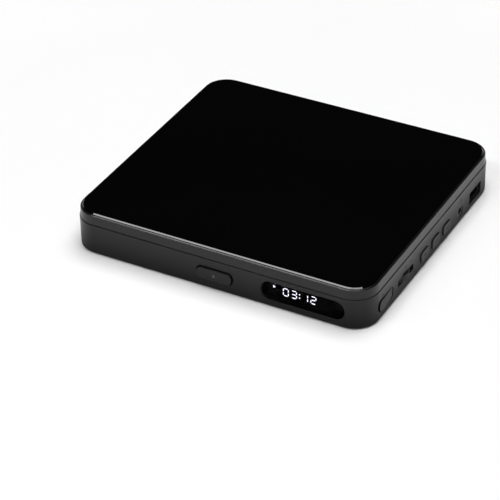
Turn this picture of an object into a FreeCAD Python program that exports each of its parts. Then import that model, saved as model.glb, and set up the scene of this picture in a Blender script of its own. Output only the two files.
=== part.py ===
import FreeCAD, Part
import math
import os
import re

import Sketcher
from FreeCAD import Placement, Rotation, Vector

# Driving sizes, in millimetres, degrees and counts
SIZES = {
    # Case and feet
    "well_radius": 62.0,
    "side_margin": 18.0,
    "end_margin": 11.75,
    "case_corner": 12.8,
    "tub_wall": 2.0,
    "tub_floor": 1.4,
    "tub_bottom_round": 0.9,
    "tub_lip_round": 0.2,
    "foot_height": 0.5,
    "foot_radius": 5.0,
    "foot_inset": 14.0,
    "overrun": 1.0,
    # Lid
    "parting_gap": 0.25,
    "lid_inset": 0.3,
    "lid_corner": 12.5,
    "lid_wall": 1.8,
    "lid_hollow": 3.55,
    "lid_roof": 1.6,
    "lid_foot_band": 0.2,
    "lid_taper": 0.35,
    "lid_rim_chamfer": 0.5,
    "panel_thick": 0.55,
    "panel_ledge": 0.45,
    "panel_chamfer": 0.5,
    "bumper_radius": 2.0,
    "bumper_gap": 0.2,
    "bumper_side_inset": 20.0,
    "bumper_inset": 7.25,
    # Hinge
    "hinge_offset": 0.5,
    "hinge_inset": 35.0,
    "knuckle_radius": 2.2,
    "knuckle_clearance": 0.35,
    "lid_knuckle": 12.0,
    "base_knuckle": 6.0,
    "end_play": 0.3,
    "pin_radius": 0.9,
    "running_gap": 0.05,
    # Deck
    "deck_gap": 0.15,
    "deck_drop": 0.4,
    "deck_thick": 1.5,
    "well_wall": 1.5,
    "well_depth": 3.6,
    "well_floor": 1.4,
    "turntable_hole_gap": 2.0,
    "pickup_slot_gap": 1.0,
    # Screws and their bosses
    "boss_radius": 2.6,
    "boss_inset_side": 7.5,
    "boss_inset_end": 7.75,
    "post_radius": 2.4,
    "screw_radius": 1.0,
    "screw_head_radius": 2.2,
    "screw_head_height": 1.2,
    "deck_screw_length": 9.0,
    "screw_tip_cover": 0.8,
    # Display window in the front wall
    "window_side_inset": 12.0,
    "window_rise": 8.35,
    "window_width": 43.2,
    "window_height": 9.9,
    "window_corner": 4.9,
    "bezel_flare": 0.6,
    "lens_gap": 0.1,
    "lens_recess": 0.4,
    "lens_rim": 0.8,
    "lens_rim_thick": 0.6,
    "digit_margin_left": 9.2,
    "digit_margin_right": 8.0,
    "digit_block_height": 8.6,
    "digit_block_depth": 4.8,
    "receiver_inset": 4.6,
    "receiver_size": 4.4,
    "display_board_thick": 1.0,
    "display_board_height": 10.2,
    "display_rest_height": 1.6,
    "display_rest_length": 3.0,
    # Open button and latch
    "button_rise": 8.2,
    "button_width": 18.8,
    "button_height": 6.0,
    "button_corner": 2.5,
    "button_edge_round": 0.4,
    "button_gap": 0.5,
    "button_proud": 1.0,
    "flange_lip": 0.8,
    "flange_thick": 0.8,
    "flange_gap": 0.3,
    "stem_radius": 1.5,
    "hook_setback": 1.55,
    "hook_width": 8.0,
    "hook_thick": 1.4,
    "hook_drop": 1.8,
    "barb_reach": 1.2,
    "barb_height": 1.0,
    "latch_gap": 0.3,
    "tongue_gap": 0.4,
    "tongue_thick": 1.2,
    "tongue_width": 10.0,
    "tongue_foot": 3.0,
    "tongue_swing": 1.8,
    "nose_reach": 1.2,
    "nose_height": 1.2,
    "latch_slot_gap": 0.6,
    # Power rocker
    "rocker_front_inset": 19.95,
    "rocker_rise": 7.3,
    "rocker_slot_length": 16.4,
    "rocker_length": 15.2,
    "rocker_height": 5.7,
    "rocker_gap": 0.5,
    "rocker_corner": 2.4,
    "rocker_pivot_depth": 3.4,
    "rocker_crown": 0.1,
    "rocker_proud": 0.2,
    "rocker_heel": 2.4,
    "rocker_tilt": 3.0,
    "rocker_stub_radius": 0.8,
    "rocker_stub_length": 0.7,
    "switch_ear_gap": 0.2,
    "switch_ear_width": 3.6,
    "switch_ear_thick": 0.7,
    "switch_body_depth": 9.0,
    # Volume wheel
    "wheel_rise": 7.5,
    "wheel_radius": 11.0,
    "wheel_thick": 2.8,
    "wheel_proud": 0.85,
    "wheel_slot_length": 17.0,
    "wheel_gap": 0.4,
    "wheel_groove_radius": 0.2,
    "wheel_groove_count": 72,
    "pot_radius": 4.4,
    "pot_clearance": 0.3,
    "pot_shaft_radius": 1.5,
    # Keys
    "key_rise": 6.7,
    "key_width": 8.6,
    "key_height": 5.6,
    "key_corner": 1.6,
    "key_edge_round": 0.4,
    "key_gap": 0.4,
    "key_proud": 0.6,
    "key_travel": 0.5,
    "key_post_radius": 1.3,
    "key_post_length": 0.9,
    "plunger_length": 2.6,
    "plunger_stroke_gap": 0.2,
    "switch_size": 6.0,
    "switch_depth": 3.1,
    "key_board_thick": 1.0,
    "key_board_margin": 6.0,
    # Sockets
    "jack_rise": 6.35,
    "jack_bore": 1.8,
    "jack_bore_length": 12.0,
    "jack_collar": 2.9,
    "jack_collar_gap": 0.1,
    "jack_body_width": 6.4,
    "jack_body_length": 12.0,
    "socket_set_in": 0.3,
    "port_set_in": 1.2,
    "port_back_inset": 23.45,
    "port_width": 13.1,
    "port_height": 5.8,
    "port_length": 13.6,
    "port_metal": 0.3,
    "port_opening_gap": 0.4,
    "port_opening_corner": 0.2,
    "port_tongue_width": 11.1,
    "port_tongue_thick": 1.9,
    "port_tongue_drop": 0.6,
    "port_tongue_set_in": 1.4,
    "port_back": 2.6,
    "contact_width": 1.2,
    "contact_thick": 0.2,
    "contact_pitch": 2.4,
    "contact_length": 6.5,
    "video_pitch": 16.0,
    "video_width": 15.0,
    "video_height": 5.6,
    "video_length": 13.6,
    "video_tongue_width": 11.0,
    "video_tongue_thick": 1.4,
    "sound_pitch": 12.0,
    "inlet_inset": 16.0,
    "inlet_width": 9.0,
    "inlet_height": 9.0,
    "inlet_length": 12.6,
    "inlet_bore": 2.8,
    "inlet_bore_length": 9.5,
    "inlet_collar": 3.6,
    "inlet_pin": 0.8,
    "inlet_pin_length": 8.5,
    # Main board
    "board_left": 22.0,
    "board_side_gap": 4.0,
    "board_end_gap": 9.25,
    "board_stand": 1.2,
    "board_thick": 1.0,
    "chip_height": 1.4,
    "capacitor_radius": 2.0,
    "capacitor_height": 5.2,
    # Traverse plate and its dampers
    "plate_side_gap": 2.4,
    "plate_right": 17.0,
    "plate_front": 34.0,
    "plate_back": 48.0,
    "plate_stand": 2.1,
    "plate_thick": 1.0,
    "plate_rim": 4.6,
    "plate_window_right": 15.0,
    "damper_radius": 4.0,
    "damper_groove": 3.0,
    "damper_flange": 0.8,
    "damper_inset_x": 6.5,
    "damper_inset_y": 5.5,
    # Spindle
    "motor_base_radius": 13.0,
    "motor_base_thick": 1.0,
    "bearing_radius": 2.6,
    "bearing_height": 4.6,
    "stator_radius": 8.6,
    "stator_height": 2.0,
    "rotor_radius": 11.0,
    "rotor_wall": 1.0,
    "rotor_lift": 1.6,
    "rotor_height": 4.9,
    "rotor_cap": 1.2,
    "shaft_radius": 1.0,
    "turntable_radius": 14.5,
    "turntable_lift": 0.5,
    "turntable_thick": 1.5,
    "turntable_boss": 5.0,
    "pad_inner_radius": 9.0,
    "pad_edge": 0.5,
    "pad_thick": 0.4,
    "hub_radius": 7.35,
    "hub_height": 2.9,
    "hub_nose": 0.8,
    "ball_count": 3,
    "ball_radius": 1.0,
    "ball_rise": 2.0,
    "ball_set_in": 0.05,
    # Pickup sled
    "lens_inner": 24.0,
    "lens_edge_margin": 5.0,
    "sled_clear": 0.6,
    "sled_height": 4.4,
    "sled_headroom": 1.2,
    "sled_front_length": 13.0,
    "sled_back_length": 10.0,
    "sled_half_width": 12.0,
    "bushing_length": 20.0,
    "bushing_reach": 3.5,
    "rod_spread": 18.0,
    "rod_rise": 2.4,
    "rod_radius": 1.5,
    "fork_length": 8.0,
    "fork_reach": 2.0,
    "holder_thick": 3.0,
    "holder_width": 5.6,
    "holder_cover": 0.8,
    "holder_sled_gap": 2.0,
    "holder_inner_x": 5.5,
    "yoke_half_width": 10.0,
    "yoke_thick": 2.0,
    "yoke_length": 7.0,
    "yoke_height": 1.6,
    "lens_holder_float": 0.5,
    "lens_holder_gap": 0.6,
    "lens_holder_height": 1.2,
    "lens_radius": 2.2,
    "lens_height": 0.5,
    # Feed drive
    "tooth_module": 0.5,
    "tooth_thinning": 0.08,
    "pressure_angle": 20.0,
    "small_teeth": 14,
    "large_teeth": 32,
    "pinion_teeth": 12,
    "rack_offset": 9.0,
    "rack_rise": 0.9,
    "rack_height": 2.3,
    "rack_spare": 2.5,
    "gear_headroom": 0.4,
    "large_gear_thick": 1.2,
    "gear_collar": 1.2,
    "gear_collar_radius": 2.0,
    "gear_pin_radius": 1.0,
    "gear_pin_stand": 0.2,
    "feed_motor_radius": 6.0,
    "feed_motor_gap": 0.4,
    "feed_motor_angle": 60.0,
    "feed_shaft_radius": 0.75,
    # Pickup ribbon
    "ribbon_width": 11.0,
    "ribbon_thick": 0.2,
    "ribbon_floor_gap": 0.2,
    "ribbon_loop_spare": 1.0,
    "ribbon_rise_start": 17.4,
    "ribbon_rise_run": 4.2,
    "ribbon_board_gap": 0.7,
    "ribbon_socket_setback": 4.0,
    "ribbon_socket_length": 5.0,
    "ribbon_socket_height": 1.8,
}

# Tooth heights as shares of the module
ADDENDUM_SHARE = 0.75
DEDENDUM_SHARE = 1.0

# Side controls between the rocker and the media port, as shares of the way from one to the other
WHEEL_SHARE = 0.21085
KEY_MIDDLE_SHARE = 0.53746
KEY_PITCH_SHARE = 0.12488
JACK_SHARE = 0.82421

# Chips on the main board: place and size as shares of the board, from its left front corner
CHIP_SHARES = [
    (0.34, 0.40, 0.36, 0.15),
    (0.34, 0.60, 0.24, 0.08),
    (0.36, 0.22, 0.20, 0.06),
]

# Capacitors on the main board, as shares of the board
CAPACITOR_SHARES = [(0.62, 0.88), (0.62, 0.80), (0.42, 0.80), (0.80, 0.60)]

# Board screws, as shares of the board
BOARD_SCREW_SHARES = [(0.10, 0.08), (0.10, 0.92), (0.72, 0.33), (0.72, 0.70)]

# Heights and places that follow from the sizes
PLACES = {
    # Heights, from the table up
    "floor_top": "foot_height + tub_floor",
    "plate_low": "floor_top + plate_stand",
    "plate_top": "plate_low + plate_thick",
    "sled_low": "plate_top + sled_clear",
    "rod_z": "sled_low + rod_rise",
    "sled_top": "sled_low + sled_height",
    "well_low": "sled_top + sled_headroom",
    "well_top": "well_low + well_floor",
    "deck_top": "well_top + well_depth",
    "deck_low": "deck_top - deck_thick",
    "base_top": "deck_top + deck_drop",
    "lid_low": "base_top + parting_gap",
    "roof_low": "lid_low + lid_hollow",
    "lid_high": "roof_low + lid_roof",
    "lid_taper_rise": "lid_hollow + lid_roof - lid_foot_band",
    "panel_inset": "lid_taper + lid_rim_chamfer + panel_ledge",
    "panel_top": "lid_high + panel_thick",
    "board_low": "floor_top + board_stand",
    "board_top": "board_low + board_thick",
    "window_z": "foot_height + window_rise",
    "button_z": "foot_height + button_rise",
    "rocker_z": "foot_height + rocker_rise",
    "wheel_z": "foot_height + wheel_rise",
    "key_z": "foot_height + key_rise",
    "jack_z": "foot_height + jack_rise",
    "port_z": "board_top + port_height / 2",
    "video_z": "board_top + video_height / 2",
    "inlet_z": "board_top + inlet_height / 2",
    # Case outline
    "half_width": "well_radius + side_margin",
    "half_depth": "well_radius + end_margin",
    "inner_x": "half_width - tub_wall",
    "inner_y": "half_depth - tub_wall",
    "lid_x": "half_width - lid_inset",
    "lid_y": "half_depth - lid_inset",
    "boss_x": "half_width - boss_inset_side",
    "boss_y": "half_depth - boss_inset_end",
    "board_right": "inner_x - board_side_gap",
    "board_back": "inner_y - board_end_gap",
    "board_width": "board_right - board_left",
    "board_depth": "2 * board_back",
    "bumper_spread": "half_width - bumper_side_inset",
    # Hinge
    "hinge_spread": "half_width - hinge_inset",
    "hinge_y": "half_depth + hinge_offset",
    "knuckle_notch": "knuckle_radius + knuckle_clearance",
    # Latch
    "hook_front": "hook_setback - inner_y",
    "hook_back": "hook_front + hook_thick",
    "hook_low": "deck_low - hook_drop",
    "barb_back": "hook_back + barb_reach",
    "barb_top": "hook_low + barb_height",
    "tongue_front": "barb_back + tongue_gap",
    "tongue_back": "tongue_front + tongue_thick",
    "nose_front": "tongue_front - nose_reach",
    "nose_low": "barb_top + latch_gap",
    "tongue_top": "nose_low + nose_height",
    # Display
    "window_x": "half_width - window_side_inset - window_width / 2",
    "window_left": "window_x - window_width / 2",
    "window_right": "window_x + window_width / 2",
    "receiver_x": "window_left + receiver_inset",
    "lens_rim_back": "lens_rim_thick - inner_y",
    "digit_back": "lens_rim_back + digit_block_depth",
    "display_low": "floor_top + display_rest_height",
    # Side controls
    "rocker_y": "rocker_front_inset - half_depth",
    "port_y": "half_depth - port_back_inset",
    "side_span": "port_y - rocker_y",
    "wheel_y": f"rocker_y + {WHEEL_SHARE} * side_span",
    "key_middle_y": f"rocker_y + {KEY_MIDDLE_SHARE} * side_span",
    "key_pitch": f"{KEY_PITCH_SHARE} * side_span",
    "jack_y": f"rocker_y + {JACK_SHARE} * side_span",
    "pivot_x": "half_width - rocker_pivot_depth",
    "switch_front": "half_width - rocker_pivot_depth - rocker_heel - rocker_tilt_room",
    "rocker_tilt_room": "rocker_length / 2 * sin(rocker_tilt)",
    "wheel_x": "half_width + wheel_proud - wheel_radius",
    "key_flange_front": "inner_x - flange_gap",
    "key_flange_back": "key_flange_front - flange_thick",
    "key_post_back": "key_flange_back - key_post_length",
    "plunger_back": "key_post_back - plunger_length",
    "switch_face": "key_post_back - key_travel - plunger_stroke_gap",
    "key_board_front": "switch_face - switch_depth",
    # Sockets at the back
    "inlet_x": "half_width - inlet_inset",
    "sound_x": "inlet_x - sound_pitch",
    "video_x": "sound_x - video_pitch",
    # Spindle heights
    "rotor_low": "plate_top + rotor_lift",
    "rotor_top": "rotor_low + rotor_height",
    "turntable_low": "rotor_top + turntable_lift",
    "turntable_top": "turntable_low + turntable_thick",
    "hub_top": "turntable_top + hub_height",
    "ball_z": "turntable_top + ball_rise",
    # Traverse plate
    "plate_left": "inner_x - plate_side_gap",
    "plate_window_left": "plate_left - plate_rim",
    # Sled, with the lens at its inner end of travel
    "lens_outer": "well_radius - lens_edge_margin",
    "bushing_outer": "rod_spread + bushing_reach",
    "holder_outer_x": "lens_outer + sled_front_length + holder_sled_gap",
    "actuator_low": "sled_top + lens_holder_float",
    "actuator_top": "actuator_low + lens_holder_height",
    # Feed drive
    "rack_low": "sled_low + rack_rise",
    "rack_pitch_y": "rod_spread + rack_offset",
    "gear_x": "-(lens_inner + lens_outer) / 2",
    "gear_y": "rack_pitch_y + tooth_module * small_teeth / 2",
    "gear_top": "well_low - gear_headroom",
    "large_gear_low": "gear_top - large_gear_thick",
    "gear_low": "plate_top + gear_collar",
    "feed_span": "tooth_module * (large_teeth + pinion_teeth) / 2",
    "feed_x": "gear_x + feed_span * cos(feed_motor_angle)",
    "feed_y": "gear_y + feed_span * sin(feed_motor_angle)",
    "feed_motor_top": "large_gear_low - feed_motor_gap",
    "ribbon_low": "floor_top + ribbon_floor_gap",
    "ribbon_loop": "lens_outer + ribbon_loop_spare",
    "ribbon_socket_x": "board_left + ribbon_socket_setback",
}

TURNS = {
    "x": Rotation(Vector(0, 1, 0), 90),
    "y": Rotation(Vector(1, 0, 0), -90),
    "z": Rotation(),
}
PLANES = {"x": "YZ_Plane", "y": "XZ_Plane", "z": "XY_Plane"}
TOLERANCE = Part.Precision.approximation()

# Repeated pieces and the formulas for their places
KEYS = {
    "key_back": "key_middle_y - key_pitch",
    "key_play": "key_middle_y",
    "key_forward": "key_middle_y + key_pitch",
}
HINGES = {"left": "-hinge_spread", "right": "hinge_spread"}

doc = FreeCAD.newDocument("disc_player")
nodes = []


# Sheets and formulas
def linked(text, inside=False):
    """Put the sheet's name before each size or place in a formula."""
    def link(match):
        word = match.group(0)
        if word in SIZES:
            return "Sizes." + word
        if word in PLACES and not inside:
            return "Places." + word
        return word
    return re.sub(r"[a-z][a-z_]*", link, text)


def bind(piece, formulas):
    for field, text in formulas.items():
        piece.setExpression(field, linked(text))


def fill_sheets():
    sizes = doc.addObject("Spreadsheet::Sheet", "Sizes")
    for row, (word, number) in enumerate(SIZES.items(), start=1):
        sizes.set(f"A{row}", word)
        sizes.set(f"B{row}", str(number))
        sizes.setAlias(f"B{row}", word)
    places = doc.addObject("Spreadsheet::Sheet", "Places")
    for row, word in enumerate(PLACES, start=1):
        places.set(f"A{row}", word)
        places.setAlias(f"B{row}", word)
    for row, text in enumerate(PLACES.values(), start=1):
        places.set(f"B{row}", "=" + linked(text, inside=True))
    doc.recompute()


fill_sheets()
gauge = doc.addObject("App::FeaturePython", "Gauge")
gauge.addProperty("App::PropertyFloat", "Reading")


def measure(text):
    """The number that a formula gives."""
    gauge.setExpression("Reading", linked(text))
    gauge.recompute()
    return gauge.Reading


# Solids
def span(piece, low, high):
    for side, axis, start, end in zip(("Length", "Width", "Height"), "xyz", low, high):
        bind(piece, {side: f"({end}) - ({start})", f"Placement.Base.{axis}": start})


def box(name, low, high):
    piece = doc.addObject("Part::Box", name)
    span(piece, low, high)
    return piece


def rod(name, axis, centre, radius, low, high):
    """Cylinder along an axis; centre gives the other two places in x, y, z order."""
    piece = doc.addObject("Part::Cylinder", name)
    piece.Placement = Placement(Vector(), TURNS[axis])
    start = list(centre)
    start.insert("xyz".index(axis), low)
    bind(piece, {"Radius": radius, "Height": f"({high}) - ({low})"})
    bind(piece, {f"Placement.Base.{letter}": text for letter, text in zip("xyz", start)})
    return piece


def rounded_block(name, low, high, axis, corner, ends=()):
    """Block with the edges along one axis rounded, then its end edges rounded or chamfered."""
    body = doc.addObject("PartDesign::Body", name)
    core = body.newObject("PartDesign::AdditiveBox", name + "_core")
    span(core, low, high)
    doc.recompute()
    number = "xyz".index(axis)
    along = []
    for count, edge in enumerate(core.Shape.Edges, start=1):
        if abs(edge.tangentAt(edge.FirstParameter)[number]) > math.cos(math.radians(1)):
            along.append(f"Edge{count}")
    last = body.newObject("PartDesign::Fillet", name + "_corners")
    last.Base = (core, along)
    bind(last, {"Radius": corner})
    doc.recompute()
    for side, kind, *sizes in ends:
        level = measure((low if side == "low" else high)[number])
        loop = []
        for count, edge in enumerate(last.Shape.Edges, start=1):
            if all(abs(vertex.Point[number] - level) < TOLERANCE for vertex in edge.Vertexes):
                loop.append(f"Edge{count}")
        dress = body.newObject("PartDesign::" + kind, f"{name}_{side}_{kind.lower()}")
        dress.Base = (last, loop)
        if len(sizes) > 1:
            dress.ChamferType = "Two distances"
        bind(dress, dict(zip(("Radius",) if kind == "Fillet" else ("Size", "Size2"), sizes)))
        doc.recompute()
        last = dress
    return body


def outline_body(name, axis, points, low, high):
    """Straight-sided outline, drawn across an axis, padded from low to high."""
    body = doc.addObject("PartDesign::Body", name)
    sketch = body.newObject("Sketcher::SketchObject", name + "_outline")
    plane = next(part for part in body.Origin.OriginFeatures if part.Role == PLANES[axis])
    sketch.AttachmentSupport = (plane, [""])
    sketch.MapMode = "FlatFace"
    bind(sketch, {"AttachmentOffset.Base.z": f"-({high})" if axis == "y" else low})
    places = [Vector(measure(across), measure(up), 0) for across, up in points]
    for start, end in zip(places, places[1:] + places[:1]):
        sketch.addGeometry(Part.LineSegment(start, end), False)
    for count in range(len(places)):
        sketch.addConstraint(Sketcher.Constraint("Coincident", count, 2, (count + 1) % len(places), 1))
    for count, (formulas, place) in enumerate(zip(points, places)):
        for kind, axis_line, text, number in zip(("DistanceX", "DistanceY"), (-2, -1), formulas, place):
            if abs(number) < TOLERANCE:
                sketch.addConstraint(Sketcher.Constraint("PointOnObject", count, 1, axis_line))
                continue
            ends = (-1, 1, count, 1) if number > 0 else (count, 1, -1, 1)
            datum = sketch.addConstraint(Sketcher.Constraint(kind, *ends, abs(number)))
            bind(sketch, {f"Constraints[{datum}]": text if number > 0 else f"-({text})"})
    pad = body.newObject("PartDesign::Pad", name + "_pad")
    pad.Profile = sketch
    bind(pad, {"Length": f"({high}) - ({low})"})
    doc.recompute()
    return body


def cut(name, base, *tools):
    piece = doc.addObject("Part::Cut", name)
    piece.Base = base
    piece.Tool = tools[0] if len(tools) == 1 else fuse(name + "_tools", *tools)
    return piece


def fuse(name, *pieces):
    piece = doc.addObject("Part::MultiFuse", name)
    piece.Shapes = list(pieces)
    return piece


def common(name, *pieces):
    piece = doc.addObject("Part::MultiCommon", name)
    piece.Shapes = list(pieces)
    return piece


def group(name, *pieces):
    piece = doc.addObject("Part::Compound", name)
    piece.Links = list(pieces)
    return piece


def node(piece):
    nodes.append(piece)
    return piece


def corners(across, up):
    """The four mirrored places of one corner."""
    return [(f"{side} * ({across})", f"{end} * ({up})") for side in (-1, 1) for end in (-1, 1)]


def screw(name, place, seat, length):
    head = rod(name + "_head", "z", place, "screw_head_radius", seat, f"{seat} + screw_head_height")
    shank = rod(name + "_shank", "z", place, "screw_radius", f"{seat} - ({length})", seat)
    return fuse(name, head, shank)


def screw_hole(name, place, low, high):
    return rod(name, "z", place, "screw_radius + running_gap", low, high)


def board_place(shares):
    return f"board_left + {shares[0]} * board_width", f"{shares[1]} * board_depth - board_back"


def damper_places():
    sides = ("damper_inset_x - plate_left", "plate_right - damper_inset_x")
    ends = ("damper_inset_y - plate_front", "plate_back - damper_inset_y")
    return [(side, end) for side in sides for end in ends]


def right_opening(name, y, z, width, height, corner):
    low = ("inner_x - overrun", f"{y} - ({width}) / 2", f"{z} - ({height}) / 2")
    high = ("half_width + overrun", f"{y} + ({width}) / 2", f"{z} + ({height}) / 2")
    return rounded_block(name, low, high, "x", corner)


def front_opening(name, x, z, width, height, corner):
    low = (f"{x} - ({width}) / 2", "-half_depth - overrun", f"{z} - ({height}) / 2")
    high = (f"{x} + ({width}) / 2", "overrun - inner_y", f"{z} + ({height}) / 2")
    return rounded_block(name, low, high, "y", corner)


# Base tub
def make_base_tub():
    blank = rounded_block(
        "tub_blank", ("-half_width", "-half_depth", "foot_height"),
        ("half_width", "half_depth", "base_top"), "z",
        "case_corner", [("low", "Fillet", "tub_bottom_round"), ("high", "Fillet", "tub_lip_round")])
    cavity = rounded_block(
        "tub_cavity", ("-inner_x", "-inner_y", "floor_top"),
        ("inner_x", "inner_y", "base_top + overrun"), "z",
        "case_corner - tub_wall")
    solids = [cut("tub_walls", blank, cavity)]
    holes = []
    for count, place in enumerate(corners("boss_x", "boss_y")):
        solids.append(rod(
            f"boss_{count}", "z", place, "boss_radius", "floor_top - tub_floor / 2", "deck_low"))
        low = "deck_top - deck_screw_length - running_gap"
        holes.append(screw_hole(f"boss_hole_{count}", place, low, "deck_low + overrun"))
    posts = [(place, "plate_low - damper_flange") for place in damper_places()]
    posts += [(board_place(shares), "board_low") for shares in BOARD_SCREW_SHARES]
    for count, (place, top) in enumerate(posts):
        solids.append(rod(f"post_{count}", "z", place, "post_radius", "floor_top - tub_floor / 2", top))
        holes.append(screw_hole(
            f"post_hole_{count}", place, "foot_height + screw_tip_cover", f"{top} + overrun"))
    for count, side in enumerate((-1, 1)):
        middle = f"window_x + {side} * window_width / 4"
        solids.append(box(
            f"display_rest_{count}",
            (f"{middle} - display_rest_length / 2", "digit_back", "floor_top - tub_floor / 2"),
            (f"{middle} + display_rest_length / 2", "digit_back + display_board_thick", "display_low")))
    for side, middle in HINGES.items():
        for end in (-1, 1):
            inner = f"{middle} + {end} * (lid_knuckle / 2 + end_play)"
            outer = f"{middle} + {end} * (lid_knuckle / 2 + end_play + base_knuckle)"
            low, high = (outer, inner) if end < 0 else (inner, outer)
            name = f"base_knuckle_{side}_{end + 1}"
            solids.append(rod(name, "x", ("hinge_y", "base_top"), "knuckle_radius", low, high))
        reach = "lid_knuckle / 2 + end_play"
        holes.append(rod(
            f"tub_notch_{side}", "x", ("hinge_y", "base_top"), "knuckle_notch",
            f"{middle} - ({reach})", f"{middle} + {reach}"))
        far = "lid_knuckle / 2 + end_play + base_knuckle"
        holes.append(rod(
            f"tub_pin_hole_{side}", "x", ("hinge_y", "base_top"), "pin_radius",
            f"{middle} - ({far})", f"{middle} + {far}"))
    holes += make_front_openings() + make_side_openings() + make_back_openings()
    node(cut("base_tub", fuse("tub_solids", *solids), *holes))


def make_front_openings():
    window = front_opening(
        "window_hole", "window_x", "window_z", "window_width", "window_height", "window_corner")
    across = "window_width / 2 + bezel_flare"
    up = "window_height / 2 + bezel_flare"
    flare = rounded_block(
        "window_bezel", (f"window_x - ({across})", "-half_depth - overrun", f"window_z - ({up})"),
        (f"window_x + {across}", "bezel_flare - half_depth", f"window_z + {up}"), "y",
        "window_corner + bezel_flare", [("high", "Chamfer", "bezel_flare")])
    button = front_opening(
        "button_hole", "0", "button_z", "button_width + 2 * button_gap", "button_height + 2 * button_gap",
        "button_corner + button_gap")
    return [window, flare, button]


def make_side_openings():
    openings = [
        right_opening(
            "rocker_hole", "rocker_y", "rocker_z", "rocker_slot_length", "rocker_height + 2 * rocker_gap",
            "rocker_corner + rocker_gap"),
        right_opening(
            "wheel_hole", "wheel_y", "wheel_z", "wheel_slot_length",
            "wheel_thick + 2 * wheel_gap", "2 * wheel_gap"),
        right_opening(
            "port_hole", "port_y", "port_z", "port_width + 2 * port_opening_gap",
            "port_height + 2 * port_opening_gap", "port_opening_corner"),
        rod("jack_hole", "x", ("jack_y", "jack_z"), "jack_collar + jack_collar_gap",
            "inner_x - overrun", "half_width + overrun"),
    ]
    for name, middle in KEYS.items():
        openings.append(right_opening(
            name + "_hole", middle, "key_z", "key_width + 2 * key_gap", "key_height + 2 * key_gap",
            "key_corner + key_gap"))
    return openings


def make_back_openings():
    low, high = "inner_y - overrun", "half_depth + overrun"
    across = "video_width / 2 + port_opening_gap"
    up = "video_height / 2 + port_opening_gap"
    video = rounded_block(
        "video_hole", (f"video_x - ({across})", low, f"video_z - ({up})"),
        (f"video_x + {across}", high, f"video_z + {up}"), "y", "port_opening_corner")
    sound = rod("sound_hole", "y", ("sound_x", "jack_z"), "jack_collar + jack_collar_gap", low, high)
    inlet = rod("inlet_hole", "y", ("inlet_x", "inlet_z"), "inlet_collar + jack_collar_gap", low, high)
    return [video, sound, inlet]


def make_feet():
    place = corners("half_width - foot_inset", "half_depth - foot_inset")
    feet = [
        rod(f"foot_{count}", "z", spot, "foot_radius", "0", "foot_height")
        for count, spot in enumerate(place)]
    node(group("feet", *feet))


# Deck with the disc well
def make_deck():
    plate = rounded_block(
        "deck_blank", ("deck_gap - inner_x", "deck_gap - inner_y", "deck_low"),
        ("inner_x - deck_gap", "inner_y - deck_gap", "deck_top"), "z",
        "case_corner - tub_wall - deck_gap")
    cup = rod("well_cup", "z", ("0", "0"), "well_radius + well_wall", "well_low", "deck_top")
    tools = [
        rod("well_hollow", "z", ("0", "0"), "well_radius", "well_top", "deck_top + overrun"),
        rod("turntable_hole", "z", ("0", "0"), "turntable_radius + turntable_hole_gap",
            "well_low - overrun", "well_top + overrun"),
        box("pickup_slot",
            ("-(lens_outer + yoke_length / 2 + pickup_slot_gap)", "-(yoke_half_width + pickup_slot_gap)",
             "well_low - overrun"),
            ("0", "yoke_half_width + pickup_slot_gap", "well_top + overrun")),
        box("latch_slot",
            ("-(tongue_width / 2 + latch_slot_gap)", "hook_front - latch_slot_gap", "deck_low - overrun"),
            ("tongue_width / 2 + latch_slot_gap", "tongue_back + tongue_swing", "deck_top + overrun")),
    ]
    for count, place in enumerate(corners("boss_x", "boss_y")):
        tools.append(screw_hole(f"deck_hole_{count}", place, "deck_low - overrun", "deck_top + overrun"))
    node(cut("deck", fuse("deck_solids", plate, cup), *tools))
    places = enumerate(corners("boss_x", "boss_y"))
    node(group("deck_screws", *[
        screw(f"deck_screw_{count}", place, "deck_top", "deck_screw_length") for count, place in places]))


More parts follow.
